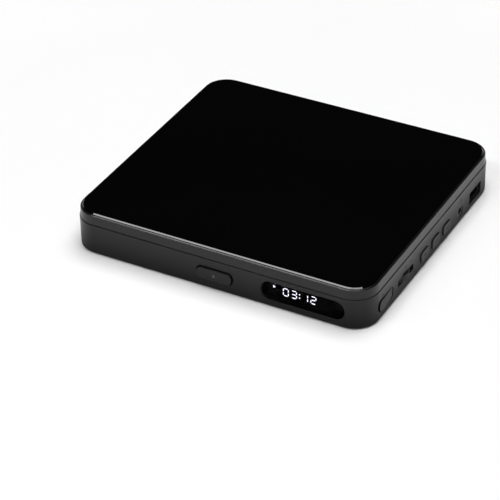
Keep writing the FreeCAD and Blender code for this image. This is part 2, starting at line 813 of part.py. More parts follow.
# Lid, its panel and its hinge pins
def make_lid():
    blank = rounded_block(
        "lid_blank", ("-lid_x", "-lid_y", "lid_low"), ("lid_x", "lid_y", "lid_high"), "z", "lid_corner",
        [("high", "Chamfer", "lid_taper_rise", "lid_taper"), ("high", "Chamfer", "lid_rim_chamfer")])
    hollow = rounded_block(
        "lid_cavity", ("lid_wall - lid_x", "lid_wall - lid_y", "lid_low - overrun"),
        ("lid_x - lid_wall", "lid_y - lid_wall", "roof_low"), "z", "lid_corner - lid_wall")
    solids = [
        cut("lid_walls", blank, hollow),
        box("lid_hook", ("-hook_width / 2", "hook_front", "hook_low"),
            ("hook_width / 2", "hook_back", "roof_low + lid_roof / 2")),
        box(
            "lid_barb", ("-hook_width / 2", "hook_front", "hook_low"),
            ("hook_width / 2", "barb_back", "barb_top")),
    ]
    holes = []
    for side, middle in HINGES.items():
        solids.append(rod(
            f"lid_knuckle_{side}", "x", ("hinge_y", "base_top"), "knuckle_radius",
            f"{middle} - lid_knuckle / 2", f"{middle} + lid_knuckle / 2"))
        holes.append(rod(
            f"lid_pin_hole_{side}", "x", ("hinge_y", "base_top"), "pin_radius + running_gap",
            f"{middle} - lid_knuckle / 2 - overrun", f"{middle} + lid_knuckle / 2 + overrun"))
        near = "lid_knuckle / 2"
        far = "lid_knuckle / 2 + base_knuckle + 2 * end_play"
        for end, (low, high) in enumerate(((f"-({far})", f"-({near})"), (near, far))):
            holes.append(rod(
                f"lid_notch_{side}_{end}", "x", ("hinge_y", "base_top"), "knuckle_notch",
                f"{middle} + {low}", f"{middle} + {high}"))
    node(cut("lid_shell", fuse("lid_solids", *solids), *holes))
    node(rounded_block(
        "lid_panel", ("panel_inset - lid_x", "panel_inset - lid_y", "lid_high"),
        ("lid_x - panel_inset", "lid_y - panel_inset", "panel_top"), "z", "lid_corner - panel_inset",
        [("high", "Chamfer", "panel_chamfer")]))
    bumpers = []
    for count, side in enumerate((-1, 1)):
        bumpers.append(rod(
            f"bumper_{count}", "z", (f"{side} * bumper_spread", "bumper_inset - half_depth"),
            "bumper_radius",
            "deck_top + bumper_gap", "roof_low"))
    node(group("lid_bumpers", *bumpers))


def make_hinge_pins():
    reach = "lid_knuckle / 2 + end_play + base_knuckle"
    pins = []
    for side, middle in HINGES.items():
        pins.append(rod(
            f"hinge_pin_{side}", "x", ("hinge_y", "base_top"), "pin_radius",
            f"{middle} - ({reach})", f"{middle} + {reach}"))
    node(group("hinge_pins", *pins))


# Display in the front wall
def make_display():
    across = "window_width / 2 - lens_gap"
    up = "window_height / 2 - lens_gap"
    face = rounded_block(
        "lens_face", (f"window_x - ({across})", "lens_recess - half_depth", f"window_z - ({up})"),
        (f"window_x + {across}", "-inner_y", f"window_z + {up}"), "y", "window_corner - lens_gap")
    wide = "window_width / 2 + lens_rim"
    tall = "window_height / 2 + lens_rim"
    plate = rounded_block(
        "lens_rim_plate", (f"window_x - ({wide})", "-inner_y", f"window_z - ({tall})"),
        (f"window_x + {wide}", "lens_rim_back", f"window_z + {tall}"), "y", "window_corner")
    room = rounded_block(
        "lens_rim_room", ("lens_gap - inner_x", "-inner_y", "floor_top"),
        ("inner_x - lens_gap", "inner_y", "deck_low"),
        "z", "case_corner - tub_wall")
    node(fuse("display_lens", face, common("lens_rim", plate, room)))
    node(box(
        "display_digits",
        ("window_left + digit_margin_left", "lens_rim_back", "window_z - digit_block_height / 2"),
        ("window_right - digit_margin_right", "digit_back", "window_z + digit_block_height / 2")))
    node(box(
        "infrared_receiver",
        ("receiver_x - receiver_size / 2", "lens_rim_back", "window_z - receiver_size / 2"),
        ("receiver_x + receiver_size / 2", "digit_back", "window_z + receiver_size / 2")))
    node(box(
        "display_board",
        ("window_left", "digit_back", "display_low"),
        ("window_right", "digit_back + display_board_thick",
         "display_low + display_board_height")))


# Open button and the latch behind it
def make_open_button():
    across = "button_width / 2"
    up = "button_height / 2"
    cap = rounded_block(
        "button_cap", (f"-{across}", "-half_depth - button_proud", f"button_z - {up}"),
        (across, "flange_gap - inner_y", f"button_z + {up}"), "y", "button_corner",
        [("low", "Fillet", "button_edge_round")])
    wide = "button_width / 2 + flange_lip"
    tall = "button_height / 2 + flange_lip"
    flange = rounded_block(
        "button_flange", (f"-({wide})", "flange_gap - inner_y", f"button_z - ({tall})"),
        (wide, "flange_gap + flange_thick - inner_y", f"button_z + {tall}"), "y", "button_corner")
    stem = rod(
        "button_stem", "y", ("0", "button_z"), "stem_radius",
        "flange_gap - inner_y", "tongue_front - latch_gap")
    node(fuse("open_button", cap, flange, stem))


def make_latch_tongue():
    outline = [
        ("tongue_front", "floor_top"),
        ("tongue_back + tongue_foot", "floor_top"),
        ("tongue_back + tongue_foot", "floor_top + tongue_thick"),
        ("tongue_back", "floor_top + tongue_thick"),
        ("tongue_back", "tongue_top"),
        ("tongue_front", "tongue_top"),
        ("nose_front", "nose_low + nose_height / 2"),
        ("nose_front", "nose_low"),
        ("tongue_front", "nose_low"),
    ]
    node(outline_body("latch_tongue", "x", outline, "-tongue_width / 2", "tongue_width / 2"))


# Power rocker and its switch
def make_power_rocker():
    face = "rocker_pivot_depth + rocker_proud"
    half = "rocker_length / 2"
    outline = [
        (face, f"-{half}"),
        (f"{face} + rocker_crown", "0"),
        (face, half),
        ("0", f"{half} - rocker_gap"),
        ("-rocker_heel", "rocker_heel"),
        ("-rocker_heel", "-rocker_heel"),
        ("0", f"rocker_gap - {half}"),
    ]
    wedge = outline_body("rocker_wedge", "z", outline, "-rocker_height / 2", "rocker_height / 2")
    ends = rounded_block(
        "rocker_ends", ("-rocker_heel - overrun", f"-{half}", "-rocker_height / 2"),
        (f"{face} + rocker_crown + overrun", half, "rocker_height / 2"), "x", "rocker_corner")
    cap = common("rocker_cap", wedge, ends)
    reach = "rocker_height / 2 + rocker_stub_length"
    stub = rod("rocker_stub", "z", ("0", "0"), "rocker_stub_radius", f"-({reach})", reach)
    rocker = fuse("power_rocker", cap, stub)
    rocker.Placement = Placement(Vector(), Rotation(Vector(0, 0, 1), 1))
    bind(rocker, {
        "Placement.Rotation.Angle": "rocker_tilt",
        "Placement.Base.x": "pivot_x",
        "Placement.Base.y": "rocker_y",
        "Placement.Base.z": "rocker_z",
    })
    node(rocker)


def make_power_switch():
    half = "rocker_slot_length / 2"
    solids = [box(
        "switch_block", ("switch_front - switch_body_depth", f"rocker_y - {half}", "board_top"),
        ("switch_front", f"rocker_y + {half}",
         "rocker_z + rocker_height / 2 + switch_ear_gap + switch_ear_thick"))]
    inner = "rocker_height / 2 + switch_ear_gap"
    levels = [
        ("board_top", f"rocker_z - ({inner})"),
        (f"rocker_z + {inner}", f"rocker_z + {inner} + switch_ear_thick"),
    ]
    holes = []
    for count, (low, high) in enumerate(levels):
        solids.append(box(
            f"switch_ear_{count}", ("switch_front - overrun", "rocker_y - switch_ear_width / 2", low),
            ("inner_x - flange_gap", "rocker_y + switch_ear_width / 2", high)))
        holes.append(rod(
            f"switch_ear_hole_{count}", "z", ("pivot_x", "rocker_y"),
            "rocker_stub_radius + running_gap", low, high))
    node(cut("power_switch", fuse("switch_solids", *solids), *holes))


# Volume wheel on its potentiometer
def make_volume():
    low, high = "wheel_z - wheel_thick / 2", "wheel_z + wheel_thick / 2"
    disc = rod("wheel_disc", "z", ("wheel_x", "wheel_y"), "wheel_radius", low, high)
    shaft = rod(
        "wheel_shaft", "z", ("wheel_x", "wheel_y"), "pot_shaft_radius", "board_top + pot_clearance", high)
    grooves = []
    turn = 360 / SIZES["wheel_groove_count"]
    for count in range(SIZES["wheel_groove_count"]):
        place = (
            f"wheel_x + wheel_radius * cos({count * turn})",
            f"wheel_y + wheel_radius * sin({count * turn})")
        grooves.append(rod(
            f"groove_{count}", "z", place, "wheel_groove_radius",
            f"{low} - overrun", f"{high} + overrun"))
    rim = doc.addObject("Part::Cut", "wheel_rim")
    rim.Base = disc
    rim.Tool = group("wheel_grooves", *grooves)
    node(fuse("volume_wheel", rim, shaft))
    body = rod(
        "pot_body", "z", ("wheel_x", "wheel_y"), "pot_radius", "board_top", f"{low} - pot_clearance")
    bore = rod(
        "pot_bore", "z", ("wheel_x", "wheel_y"), "pot_shaft_radius + running_gap",
        "board_top + pot_clearance / 2", f"{low} + overrun")
    node(cut("volume_pot", body, bore))


# Keys, their plungers and switches
def make_keys():
    switches = []
    for name, middle in KEYS.items():
        cap = rounded_block(
            name + "_cap", ("key_flange_front", f"{middle} - key_width / 2", "key_z - key_height / 2"),
            ("half_width + key_proud", f"{middle} + key_width / 2", "key_z + key_height / 2"),
            "x", "key_corner",
            [("high", "Fillet", "key_edge_round")])
        wide, tall = "key_width / 2 + flange_lip", "key_height / 2 + flange_lip"
        flange = rounded_block(
            name + "_flange", ("key_flange_back", f"{middle} - ({wide})", f"key_z - ({tall})"),
            ("key_flange_front", f"{middle} + {wide}", f"key_z + {tall}"), "x", "key_corner")
        post = rod(
            name + "_post", "x", (middle, "key_z"), "key_post_radius",
            "key_post_back", "key_flange_front")
        node(fuse(name, cap, flange, post))
        node(rod(
            name + "_plunger", "x", (middle, "key_z"), "key_post_radius",
            "plunger_back", "key_post_back"))
        half = "switch_size / 2"
        body = box(
            name + "_switch_block", ("key_board_front", f"{middle} - {half}", f"key_z - {half}"),
            ("switch_face", f"{middle} + {half}", f"key_z + {half}"))
        bore = rod(
            name + "_switch_bore", "x", (middle, "key_z"), "key_post_radius + running_gap",
            "plunger_back - key_travel - plunger_stroke_gap", "switch_face + overrun")
        switches.append(cut(name + "_switch", body, bore))
    node(group("key_switches", *switches))
    reach = "key_pitch + key_board_margin"
    node(box(
        "key_board", ("key_board_front - key_board_thick", f"key_middle_y - ({reach})", "board_top"),
        ("key_board_front", f"key_middle_y + {reach}", "key_z + switch_size / 2 + key_board_thick")))


# Round jacks and the power inlet
def make_headphone_jack():
    half = "jack_body_width / 2"
    body = box(
        "headphone_body", ("inner_x - flange_gap - jack_body_length", f"jack_y - {half}", "board_top"),
        ("inner_x - flange_gap", f"jack_y + {half}", f"jack_z + {half}"))
    collar = rod(
        "headphone_collar", "x", ("jack_y", "jack_z"), "jack_collar",
        "inner_x - flange_gap - overrun", "half_width - socket_set_in")
    bore = rod(
        "headphone_bore", "x", ("jack_y", "jack_z"), "jack_bore",
        "half_width - socket_set_in - jack_bore_length", "half_width + overrun")
    node(cut("headphone_jack", fuse("headphone_solids", body, collar), bore))


def make_sound_jack():
    half = "jack_body_width / 2"
    body = box(
        "sound_body", (f"sound_x - {half}", "inner_y - flange_gap - jack_body_length", "board_top"),
        (f"sound_x + {half}", "inner_y - flange_gap", f"jack_z + {half}"))
    collar = rod(
        "sound_collar", "y", ("sound_x", "jack_z"), "jack_collar",
        "inner_y - flange_gap - overrun", "half_depth - socket_set_in")
    bore = rod(
        "sound_bore", "y", ("sound_x", "jack_z"), "jack_bore",
        "half_depth - socket_set_in - jack_bore_length", "half_depth + overrun")
    node(cut("sound_jack", fuse("sound_solids", body, collar), bore))


def make_power_inlet():
    half = "inlet_width / 2"
    body = box(
        "inlet_body", (f"inlet_x - {half}", "inner_y - flange_gap - inlet_length", "board_top"),
        (f"inlet_x + {half}", "inner_y - flange_gap", "board_top + inlet_height"))
    collar = rod(
        "inlet_collar_ring", "y", ("inlet_x", "inlet_z"), "inlet_collar",
        "inner_y - flange_gap - overrun", "half_depth - socket_set_in")
    floor = "half_depth - socket_set_in - inlet_bore_length"
    bore = rod(
        "inlet_bore_hole", "y", ("inlet_x", "inlet_z"), "inlet_bore", floor, "half_depth + overrun")
    pin = rod(
        "inlet_pin_rod", "y", ("inlet_x", "inlet_z"), "inlet_pin", floor, f"{floor} + inlet_pin_length")
    node(fuse("power_inlet", cut("inlet_socket", fuse("inlet_solids", body, collar), bore), pin))


# Flat sockets: a folded metal shell round a plastic back with a tongue
def make_media_port():
    front, back = "half_width - port_set_in", "half_width - port_set_in - port_length"
    half, tall = "port_width / 2", "port_height / 2"
    outside = box(
        "port_outside", (back, f"port_y - {half}", f"port_z - {tall}"),
        (front, f"port_y + {half}", f"port_z + {tall}"))
    inside = box(
        "port_inside",
        (f"{back} - overrun", f"port_y - {half} + port_metal", f"port_z - {tall} + port_metal"),
        (f"{front} + overrun", f"port_y + {half} - port_metal", f"port_z + {tall} - port_metal"))
    node(cut("media_port_shell", outside, inside))
    plug = box(
        "port_plug", (back, f"port_y - {half} + port_metal", f"port_z - {tall} + port_metal"),
        (f"{back} + port_back", f"port_y + {half} - port_metal", f"port_z + {tall} - port_metal"))
    top = f"port_z + {tall} - port_metal - port_tongue_drop"
    tongue = box(
        "port_tongue_blade", (back, "port_y - port_tongue_width / 2", f"{top} - port_tongue_thick"),
        (f"{front} - port_tongue_set_in", "port_y + port_tongue_width / 2", top))
    node(fuse("media_port_tongue", plug, tongue))
    contacts = []
    for count, step in enumerate((-1.5, -0.5, 0.5, 1.5)):
        middle = f"port_y + {step} * contact_pitch"
        contacts.append(box(
            f"contact_{count}",
            (f"{back} + port_back", f"{middle} - contact_width / 2",
             f"{top} - port_tongue_thick - contact_thick"),
            (f"{back} + port_back + contact_length", f"{middle} + contact_width / 2",
             f"{top} - port_tongue_thick")))
    node(group("media_port_contacts", *contacts))


def make_video_socket():
    front, back = "half_depth - socket_set_in", "half_depth - socket_set_in - video_length"
    half, tall = "video_width / 2", "video_height / 2"
    outside = box("video_outside", (f"video_x - {half}", back, f"video_z - {tall}"),
                  (f"video_x + {half}", front, f"video_z + {tall}"))
    inside = box("video_inside",
                 (f"video_x - {half} + port_metal", f"{back} - overrun",
                  f"video_z - {tall} + port_metal"),
                 (f"video_x + {half} - port_metal", f"{front} + overrun",
                  f"video_z + {tall} - port_metal"))
    node(cut("video_socket_shell", outside, inside))
    plug = box("video_plug", (f"video_x - {half} + port_metal", back, f"video_z - {tall} + port_metal"),
               (f"video_x + {half} - port_metal", f"{back} + port_back",
                f"video_z + {tall} - port_metal"))
    blade = box("video_blade",
                ("video_x - video_tongue_width / 2", back, "video_z - video_tongue_thick / 2"),
                ("video_x + video_tongue_width / 2", f"{front} - port_tongue_set_in",
                 "video_z + video_tongue_thick / 2"))
    node(fuse("video_socket_tongue", plug, blade))


# Main board
def make_main_board():
    blank = box(
        "board_blank", ("board_left", "-board_back", "board_low"),
        ("board_right", "board_back", "board_top"))
    holes = []
    screws = []
    for count, shares in enumerate(BOARD_SCREW_SHARES):
        place = board_place(shares)
        holes.append(screw_hole(
            f"board_hole_{count}", place, "board_low - overrun", "board_top + overrun"))
        reach = "board_top - foot_height - screw_tip_cover - running_gap"
        screws.append(screw(f"board_screw_{count}", place, "board_top", reach))
    node(cut("main_board", blank, *holes))
    node(group("board_screws", *screws))
    chips = []
    for count, (across, along, width, depth) in enumerate(CHIP_SHARES):
        left, front = board_place((across, along))
        chips.append(box(
            f"chip_{count}", (left, front, "board_top"),
            (f"{left} + {width} * board_width", f"{front} + {depth} * board_depth",
             "board_top + chip_height")))
    node(group("board_chips", *chips))
    cans = []
    for count, shares in enumerate(CAPACITOR_SHARES):
        cans.append(rod(
            f"capacitor_{count}", "z", board_place(shares), "capacitor_radius",
            "board_top", "board_top + capacitor_height"))
    node(group("board_capacitors", *cans))
    node(box(
        "ribbon_socket", ("ribbon_socket_x", "-(ribbon_width / 2 + overrun)", "board_top"),
        ("ribbon_socket_x + ribbon_socket_length", "ribbon_width / 2 + overrun",
         "board_top + ribbon_socket_height")))


# Traverse plate on its dampers
def make_traverse():
    blank = box(
        "plate_blank", ("-plate_left", "-plate_front", "plate_low"),
        ("plate_right", "plate_back", "plate_top"))
    tools = [box(
        "plate_window", ("-plate_window_left", "-(ribbon_width / 2 + overrun)", "plate_low - overrun"),
        ("-plate_window_right", "ribbon_width / 2 + overrun", "plate_top + overrun"))]
    dampers = []
    screws = []
    for count, place in enumerate(damper_places()):
        tools.append(rod(
            f"plate_hole_{count}", "z", place, "damper_groove + running_gap",
            "plate_low - overrun", "plate_top + overrun"))
        foot = rod(
            f"damper_foot_{count}", "z", place, "damper_radius", "plate_low - damper_flange", "plate_low")
        neck = rod(f"damper_neck_{count}", "z", place, "damper_groove", "plate_low", "plate_top")
        brim = rod(
            f"damper_brim_{count}", "z", place, "damper_radius", "plate_top", "plate_top + damper_flange")
        bore = screw_hole(
            f"damper_bore_{count}", place, "plate_low - damper_flange - overrun",
            "plate_top + damper_flange + overrun")
        dampers.append(cut(f"damper_{count}", fuse(f"damper_solids_{count}", foot, neck, brim), bore))
        reach = "plate_top + damper_flange - foot_height - screw_tip_cover - running_gap"
        screws.append(screw(f"damper_screw_{count}", place, "plate_top + damper_flange", reach))
    node(cut("traverse_plate", blank, *tools))
    node(group("traverse_dampers", *dampers))
    node(group("traverse_screws", *screws))


# Spindle motor and turntable
def make_spindle():
    centre = ("0", "0")
    base = rod(
        "motor_base_disc", "z", centre, "motor_base_radius", "plate_top", "plate_top + motor_base_thick")
    tube = rod("motor_tube", "z", centre, "bearing_radius", "plate_top", "plate_top + bearing_height")
    bore = rod(
        "motor_bore", "z", centre, "shaft_radius + running_gap",
        "plate_top + motor_base_thick / 2", "plate_top + bearing_height + overrun")
    node(cut("spindle_motor_base", fuse("motor_base_solids", base, tube), bore))
    coil = rod(
        "stator_coil", "z", centre, "stator_radius", "plate_top + motor_base_thick",
        "plate_top + motor_base_thick + stator_height")
    gap = rod("stator_hole", "z", centre, "bearing_radius", "plate_top", "plate_top + bearing_height")
    node(cut("spindle_stator", coil, gap))
    bell = rod("rotor_bell", "z", centre, "rotor_radius", "rotor_low", "rotor_top")
    hollow = rod(
        "rotor_hollow", "z", centre, "rotor_radius - rotor_wall",
        "rotor_low - overrun", "rotor_top - rotor_cap")
    shaft = rod("rotor_shaft", "z", centre, "shaft_radius", "plate_top + motor_base_thick", "hub_top")
    node(fuse("spindle_rotor", cut("rotor_cup", bell, hollow), shaft))
    make_turntable(centre)


def make_turntable(centre):
    nose = doc.addObject("Part::Cone", "hub_cone")
    bind(nose, {
        "Radius1": "hub_radius",
        "Radius2": "hub_radius - hub_nose",
        "Height": "hub_nose",
        "Placement.Base.z": "hub_top",
    })
    platter = fuse(
        "turntable_solids",
        rod("turntable_stub", "z", centre, "turntable_boss", "rotor_top", "turntable_top"),
        rod("turntable_disc", "z", centre, "turntable_radius", "turntable_low", "turntable_top"),
        rod("hub_drum", "z", centre, "hub_radius", "turntable_top", "hub_top"),
        nose)
    tools = [rod("turntable_bore", "z", centre, "shaft_radius", "rotor_top - overrun", "hub_top")]
    balls = []
    for count in range(SIZES["ball_count"]):
        turn = count * 360 / SIZES["ball_count"]
        hole = doc.addObject("Part::Cylinder", f"ball_hole_{count}")
        hole.Placement = Placement(Vector(), Rotation(Vector(0, 0, 1), turn) * TURNS["x"])
        inner = "hub_radius - 4 * ball_radius"
        bind(hole, {
            "Radius": "ball_radius + running_gap",
            "Height": "4 * ball_radius + overrun",
            "Placement.Base.x": f"({inner}) * cos({turn})",
            "Placement.Base.y": f"({inner}) * sin({turn})",
            "Placement.Base.z": "ball_z",
        })
        tools.append(hole)
        ball = doc.addObject("Part::Sphere", f"clamp_ball_{count}")
        place = "hub_radius - ball_radius - ball_set_in"
        bind(ball, {
            "Radius": "ball_radius",
            "Placement.Base.x": f"({place}) * cos({turn})",
            "Placement.Base.y": f"({place}) * sin({turn})",
            "Placement.Base.z": "ball_z",
        })
        balls.append(ball)
    node(cut("turntable", platter, *tools))
    node(group("disc_clamp_balls", *balls))
    ring = rod(
        "pad_ring", "z", centre, "turntable_radius - pad_edge",
        "turntable_top", "turntable_top + pad_thick")
    hole = rod(
        "pad_hole", "z", centre, "pad_inner_radius", "turntable_top - overrun", "turntable_top + overrun")
    node(cut("turntable_pad", ring, hole))


# Guide rods and their holders
def make_guide_rods():
    rods = []
    holders = []
    for count, side in enumerate((-1, 1)):
        y = f"{side} * rod_spread"
        reach = ("-(holder_outer_x + holder_thick / 2)", "-(holder_inner_x + holder_thick / 2)")
        rods.append(rod(f"guide_rod_{count}", "x", (y, "rod_z"), "rod_radius", *reach))
        spans = [
            ("-(holder_outer_x + holder_thick)", "-holder_outer_x"),
            ("-(holder_inner_x + holder_thick)", "-holder_inner_x")]
        for end, (low, high) in enumerate(spans):
            block = box(
                f"holder_block_{count}_{end}", (low, f"{y} - holder_width / 2", "plate_top"),
                (high, f"{y} + holder_width / 2", "rod_z + rod_radius + holder_cover"))
            hole = rod(f"holder_hole_{count}_{end}", "x", (y, "rod_z"), "rod_radius", *reach)
            holders.append(cut(f"rod_holder_{count}_{end}", block, hole))
    node(group("guide_rods", *rods))
    node(group("rod_holders", *holders))


# Pickup sled with its lens
def make_sled():
    body = box(
        "sled_block", ("-lens_inner - sled_front_length", "-sled_half_width", "sled_low"),
        ("sled_back_length - lens_inner", "sled_half_width", "sled_top"))
    bushing = box(
        "sled_bushing", ("-lens_inner - bushing_length / 2", "sled_half_width", "sled_low"),
        ("bushing_length / 2 - lens_inner", "bushing_outer", "sled_top"))
    fork = box(
        "sled_fork", ("-lens_inner - fork_length / 2", "-(rod_spread + fork_reach)", "sled_low"),
        ("fork_length / 2 - lens_inner", "-sled_half_width", "sled_top"))
    bore = rod(
        "sled_bore", "x", ("rod_spread", "rod_z"), "rod_radius + running_gap",
        "-lens_inner - bushing_length", "bushing_length - lens_inner")
    slot = box(
        "sled_slot",
        ("-lens_inner - fork_length", "-(rod_spread + fork_reach + overrun)",
         "rod_z - rod_radius - running_gap"),
        ("fork_length - lens_inner", "-(rod_spread - rod_radius - lens_holder_gap)",
         "rod_z + rod_radius + running_gap"))
    node(cut("pickup_sled", fuse("sled_solids", body, bushing, fork), bore, slot))
    yokes = []
    for count, side in enumerate((-1, 1)):
        near = f"{side} * (yoke_half_width - yoke_thick)"
        far = f"{side} * yoke_half_width"
        low, high = (far, near) if side < 0 else (near, far)
        yokes.append(box(
            f"yoke_{count}", ("-lens_inner - yoke_length / 2", low, "sled_top"),
            ("yoke_length / 2 - lens_inner", high, "sled_top + yoke_height")))
    node(group("actuator_yokes", *yokes))
    half = "yoke_half_width - yoke_thick - lens_holder_gap"
    node(box(
        "lens_holder", ("-lens_inner - yoke_length / 2", f"-({half})", "actuator_low"),
        ("yoke_length / 2 - lens_inner", half, "actuator_top")))
    node(rod(
        "pickup_lens", "z", ("-lens_inner", "0"), "lens_radius",
        "actuator_top", "actuator_top + lens_height"))


# Feed drive
def polar(radius, angle):
    return Vector(radius * math.cos(angle), radius * math.sin(angle), 0)


def gear_face(teeth, first_angle):
    """Involute gear outline; each flank is an arc through three points of its involute."""
    module = measure("tooth_module")
    pressure = math.radians(measure("pressure_angle"))
    pitch = module * teeth / 2
    base = pitch * math.cos(pressure)
    tip = pitch + ADDENDUM_SHARE * module
    root = pitch - DEDENDUM_SHARE * module
    half = (math.pi * module / 2 - measure("tooth_thinning")) / (2 * pitch)

    def flank(radius):
        turn = math.acos(min(1, base / radius))
        return half + math.tan(pressure) - pressure - math.tan(turn) + turn

    start = max(base, root)
    radii = (start, (start + tip) / 2, tip)
    edges = []
    for count in range(teeth):
        middle = first_angle + 2 * math.pi * count / teeth
        rise = [polar(radius, middle - flank(radius)) for radius in radii]
        fall = [polar(radius, middle + flank(radius)) for radius in reversed(radii)]
        root_in = polar(root, middle - flank(start))
        root_out = polar(root, middle + flank(start))
        following = middle + 2 * math.pi / teeth
        if root < base:
            edges.append(Part.LineSegment(root_in, rise[0]))
        edges.append(Part.Arc(*rise))
        edges.append(Part.Arc(rise[2], polar(tip, middle), fall[0]))
        edges.append(Part.Arc(*fall))
        if root < base:
            edges.append(Part.LineSegment(fall[2], root_out))
        edges.append(Part.Arc(
            root_out, polar(root, middle + math.pi / teeth), polar(root, following - flank(start))))
    return Part.Face(Part.Wire([edge.toShape() for edge in edges]))


def gear_solid(teeth, first_angle, low, high):
    face = gear_face(teeth, first_angle)
    face.translate(Vector(0, 0, low))
    return face.extrude(Vector(0, 0, high - low))


def shaped(name, shape, place=Vector()):
    piece = doc.addObject("Part::Feature", name)
    piece.Shape = shape
    piece.Placement = Placement(place, Rotation())
    return node(piece)


def make_feed_gears():
    small, large, pinion = SIZES["small_teeth"], SIZES["large_teeth"], SIZES["pinion_teeth"]
    mesh = math.radians(measure("feed_motor_angle"))
    low, middle, top = measure("gear_low"), measure("large_gear_low"), measure("gear_top")
    drive = gear_solid(small, math.pi / small - math.pi / 2, low, middle)
    wheel = gear_solid(large, mesh, middle, top)
    bore = Part.makeCylinder(measure("gear_pin_radius + running_gap"), top - low, Vector(0, 0, low))
    shaped("feed_gear", drive.fuse(wheel).cut(bore), Vector(measure("gear_x"), measure("gear_y"), 0))
    pinion_gear = gear_solid(pinion, mesh + math.pi + math.pi / pinion, middle, top)
    floor = measure("plate_top + feed_motor_gap")
    shaft = Part.makeCylinder(measure("feed_shaft_radius"), top - floor, Vector(0, 0, floor))
    shaped("feed_pinion", pinion_gear.fuse(shaft), Vector(measure("feed_x"), measure("feed_y"), 0))
    place = ("gear_x", "gear_y")
    collar = rod("gear_collar_ring", "z", place, "gear_collar_radius", "plate_top", "gear_low")
    pin = rod("gear_pin_rod", "z", place, "gear_pin_radius", "plate_top", "gear_top + gear_pin_stand")
    node(fuse("feed_gear_pin", collar, pin))
    case = rod(
        "feed_motor_case", "z", ("feed_x", "feed_y"), "feed_motor_radius", "plate_top", "feed_motor_top")
    hole = rod(
        "feed_motor_bore", "z", ("feed_x", "feed_y"), "feed_shaft_radius + running_gap",
        "plate_top + feed_motor_gap / 2", "feed_motor_top + overrun")
    node(cut("feed_motor", case, hole))


def make_rack():
    """Rack beside the sled, with a tooth facing the feed gear's axis at rest."""
    module = measure("tooth_module")
    slope = math.tan(math.radians(measure("pressure_angle")))
    pitch_line = measure("rack_pitch_y")
    tip = pitch_line + ADDENDUM_SHARE * module
    root = pitch_line - DEDENDUM_SHARE * module
    step = math.pi * module
    half = (step / 2 - measure("tooth_thinning")) / 2
    middle = measure("gear_x")
    reach = measure("(lens_outer - lens_inner) / 2 + rack_spare")
    centre = -measure("lens_inner")
    first = math.ceil((centre - reach + step - middle) / step)
    last = math.floor((centre + reach - step - middle) / step)
    back = measure("bushing_outer")
    points = [Vector(centre - reach, back, 0), Vector(centre - reach, root, 0)]
    for count in range(first, last + 1):
        place = middle + count * step
        wide = half + (pitch_line - root) * slope
        narrow = half - (tip - pitch_line) * slope
        points += [
            Vector(place - wide, root, 0), Vector(place - narrow, tip, 0),
            Vector(place + narrow, tip, 0), Vector(place + wide, root, 0)]
    points += [Vector(centre + reach, root, 0), Vector(centre + reach, back, 0)]
    face = Part.Face(Part.makePolygon(points + points[:1]))
    face.translate(Vector(0, 0, measure("rack_low")))
    shaped("sled_rack", face.extrude(Vector(0, 0, measure("rack_height"))))


def make_ribbon():
    """Flat cable: from its socket down to the floor, along it, round a loop and back under the sled."""
    thick = measure("ribbon_thick")
    low = measure("ribbon_low")
    top = measure("sled_low")
    loop = -measure("ribbon_loop")
    loop_middle = (low + top) / 2
    end = measure("sled_back_length - lens_inner")
    start = measure("ribbon_rise_start")
    run = measure("ribbon_rise_run")
    high = measure("board_top + ribbon_board_gap")
    socket = measure("ribbon_socket_x")
    turn = 2 * math.atan((high - low) / run)
    bend = run / (2 * math.sin(turn))

    def arc(x, z, radius, angles):
        return Part.Arc(*[
            Vector(x + radius * math.sin(angle), 0, z - radius * math.cos(angle)) for angle in angles])

    def side(offset):
        """One face of the cable, offset upwards from its lower face on the floor."""
        rise = (0, turn / 2, turn)
        first = arc(start, low + bend, bend - offset, rise)
        centre_x, centre_z = start + run, high - bend
        second = arc(centre_x, centre_z, bend + offset, [angle + math.pi for angle in reversed(rise)])
        return first, second

    lower_first, lower_second = side(0)
    upper_first, upper_second = side(thick)
    outer = (top - low) / 2
    inner = outer - thick
    around = (0, -math.pi / 2, -math.pi)
    outer_loop = arc(loop, loop_middle, outer, around)
    inner_loop = arc(loop, loop_middle, inner, around)

    def line(first, second):
        return Part.LineSegment(first, second)

    tip_low, tip_high = Vector(socket, 0, high), Vector(socket, 0, high + thick)
    end_high, end_low = Vector(end, 0, top), Vector(end, 0, top - thick)
    edges = [
        line(tip_high, tip_low),
        line(tip_low, lower_second.EndPoint),
        lower_second,
        lower_first,
        line(lower_first.StartPoint, outer_loop.StartPoint),
        outer_loop,
        line(outer_loop.EndPoint, end_high),
        line(end_high, end_low),
        line(end_low, inner_loop.EndPoint),
        inner_loop,
        line(inner_loop.StartPoint, upper_first.StartPoint),
        upper_first,
        upper_second,
        line(upper_second.EndPoint, tip_high),
    ]
    face = Part.Face(Part.Wire(Part.sortEdges([edge.toShape() for edge in edges])[0]))
    width = measure("ribbon_width")
    face.translate(Vector(0, -width / 2, 0))
    shaped("pickup_ribbon", face.extrude(Vector(0, width, 0)))


# Export
def export_nodes():
    doc.recompute()
    for piece in doc.Objects:
        if "Invalid" in piece.State or "Error" in piece.State:
            raise RuntimeError(f"{piece.Label} failed: {piece.State}")
    for piece in nodes:
        if piece.Shape.isNull() or not piece.Shape.isValid():
            raise RuntimeError(f"{piece.Label} has no valid shape")
    os.makedirs("parts", exist_ok=True)
    for piece in nodes:
        piece.Shape.exportStep(f"parts/{piece.Label}.step")
        print(f"{piece.Label}: {len(piece.Shape.Solids)} solids, {piece.Shape.Volume:.1f} mm3")
    print(len(nodes), "nodes")


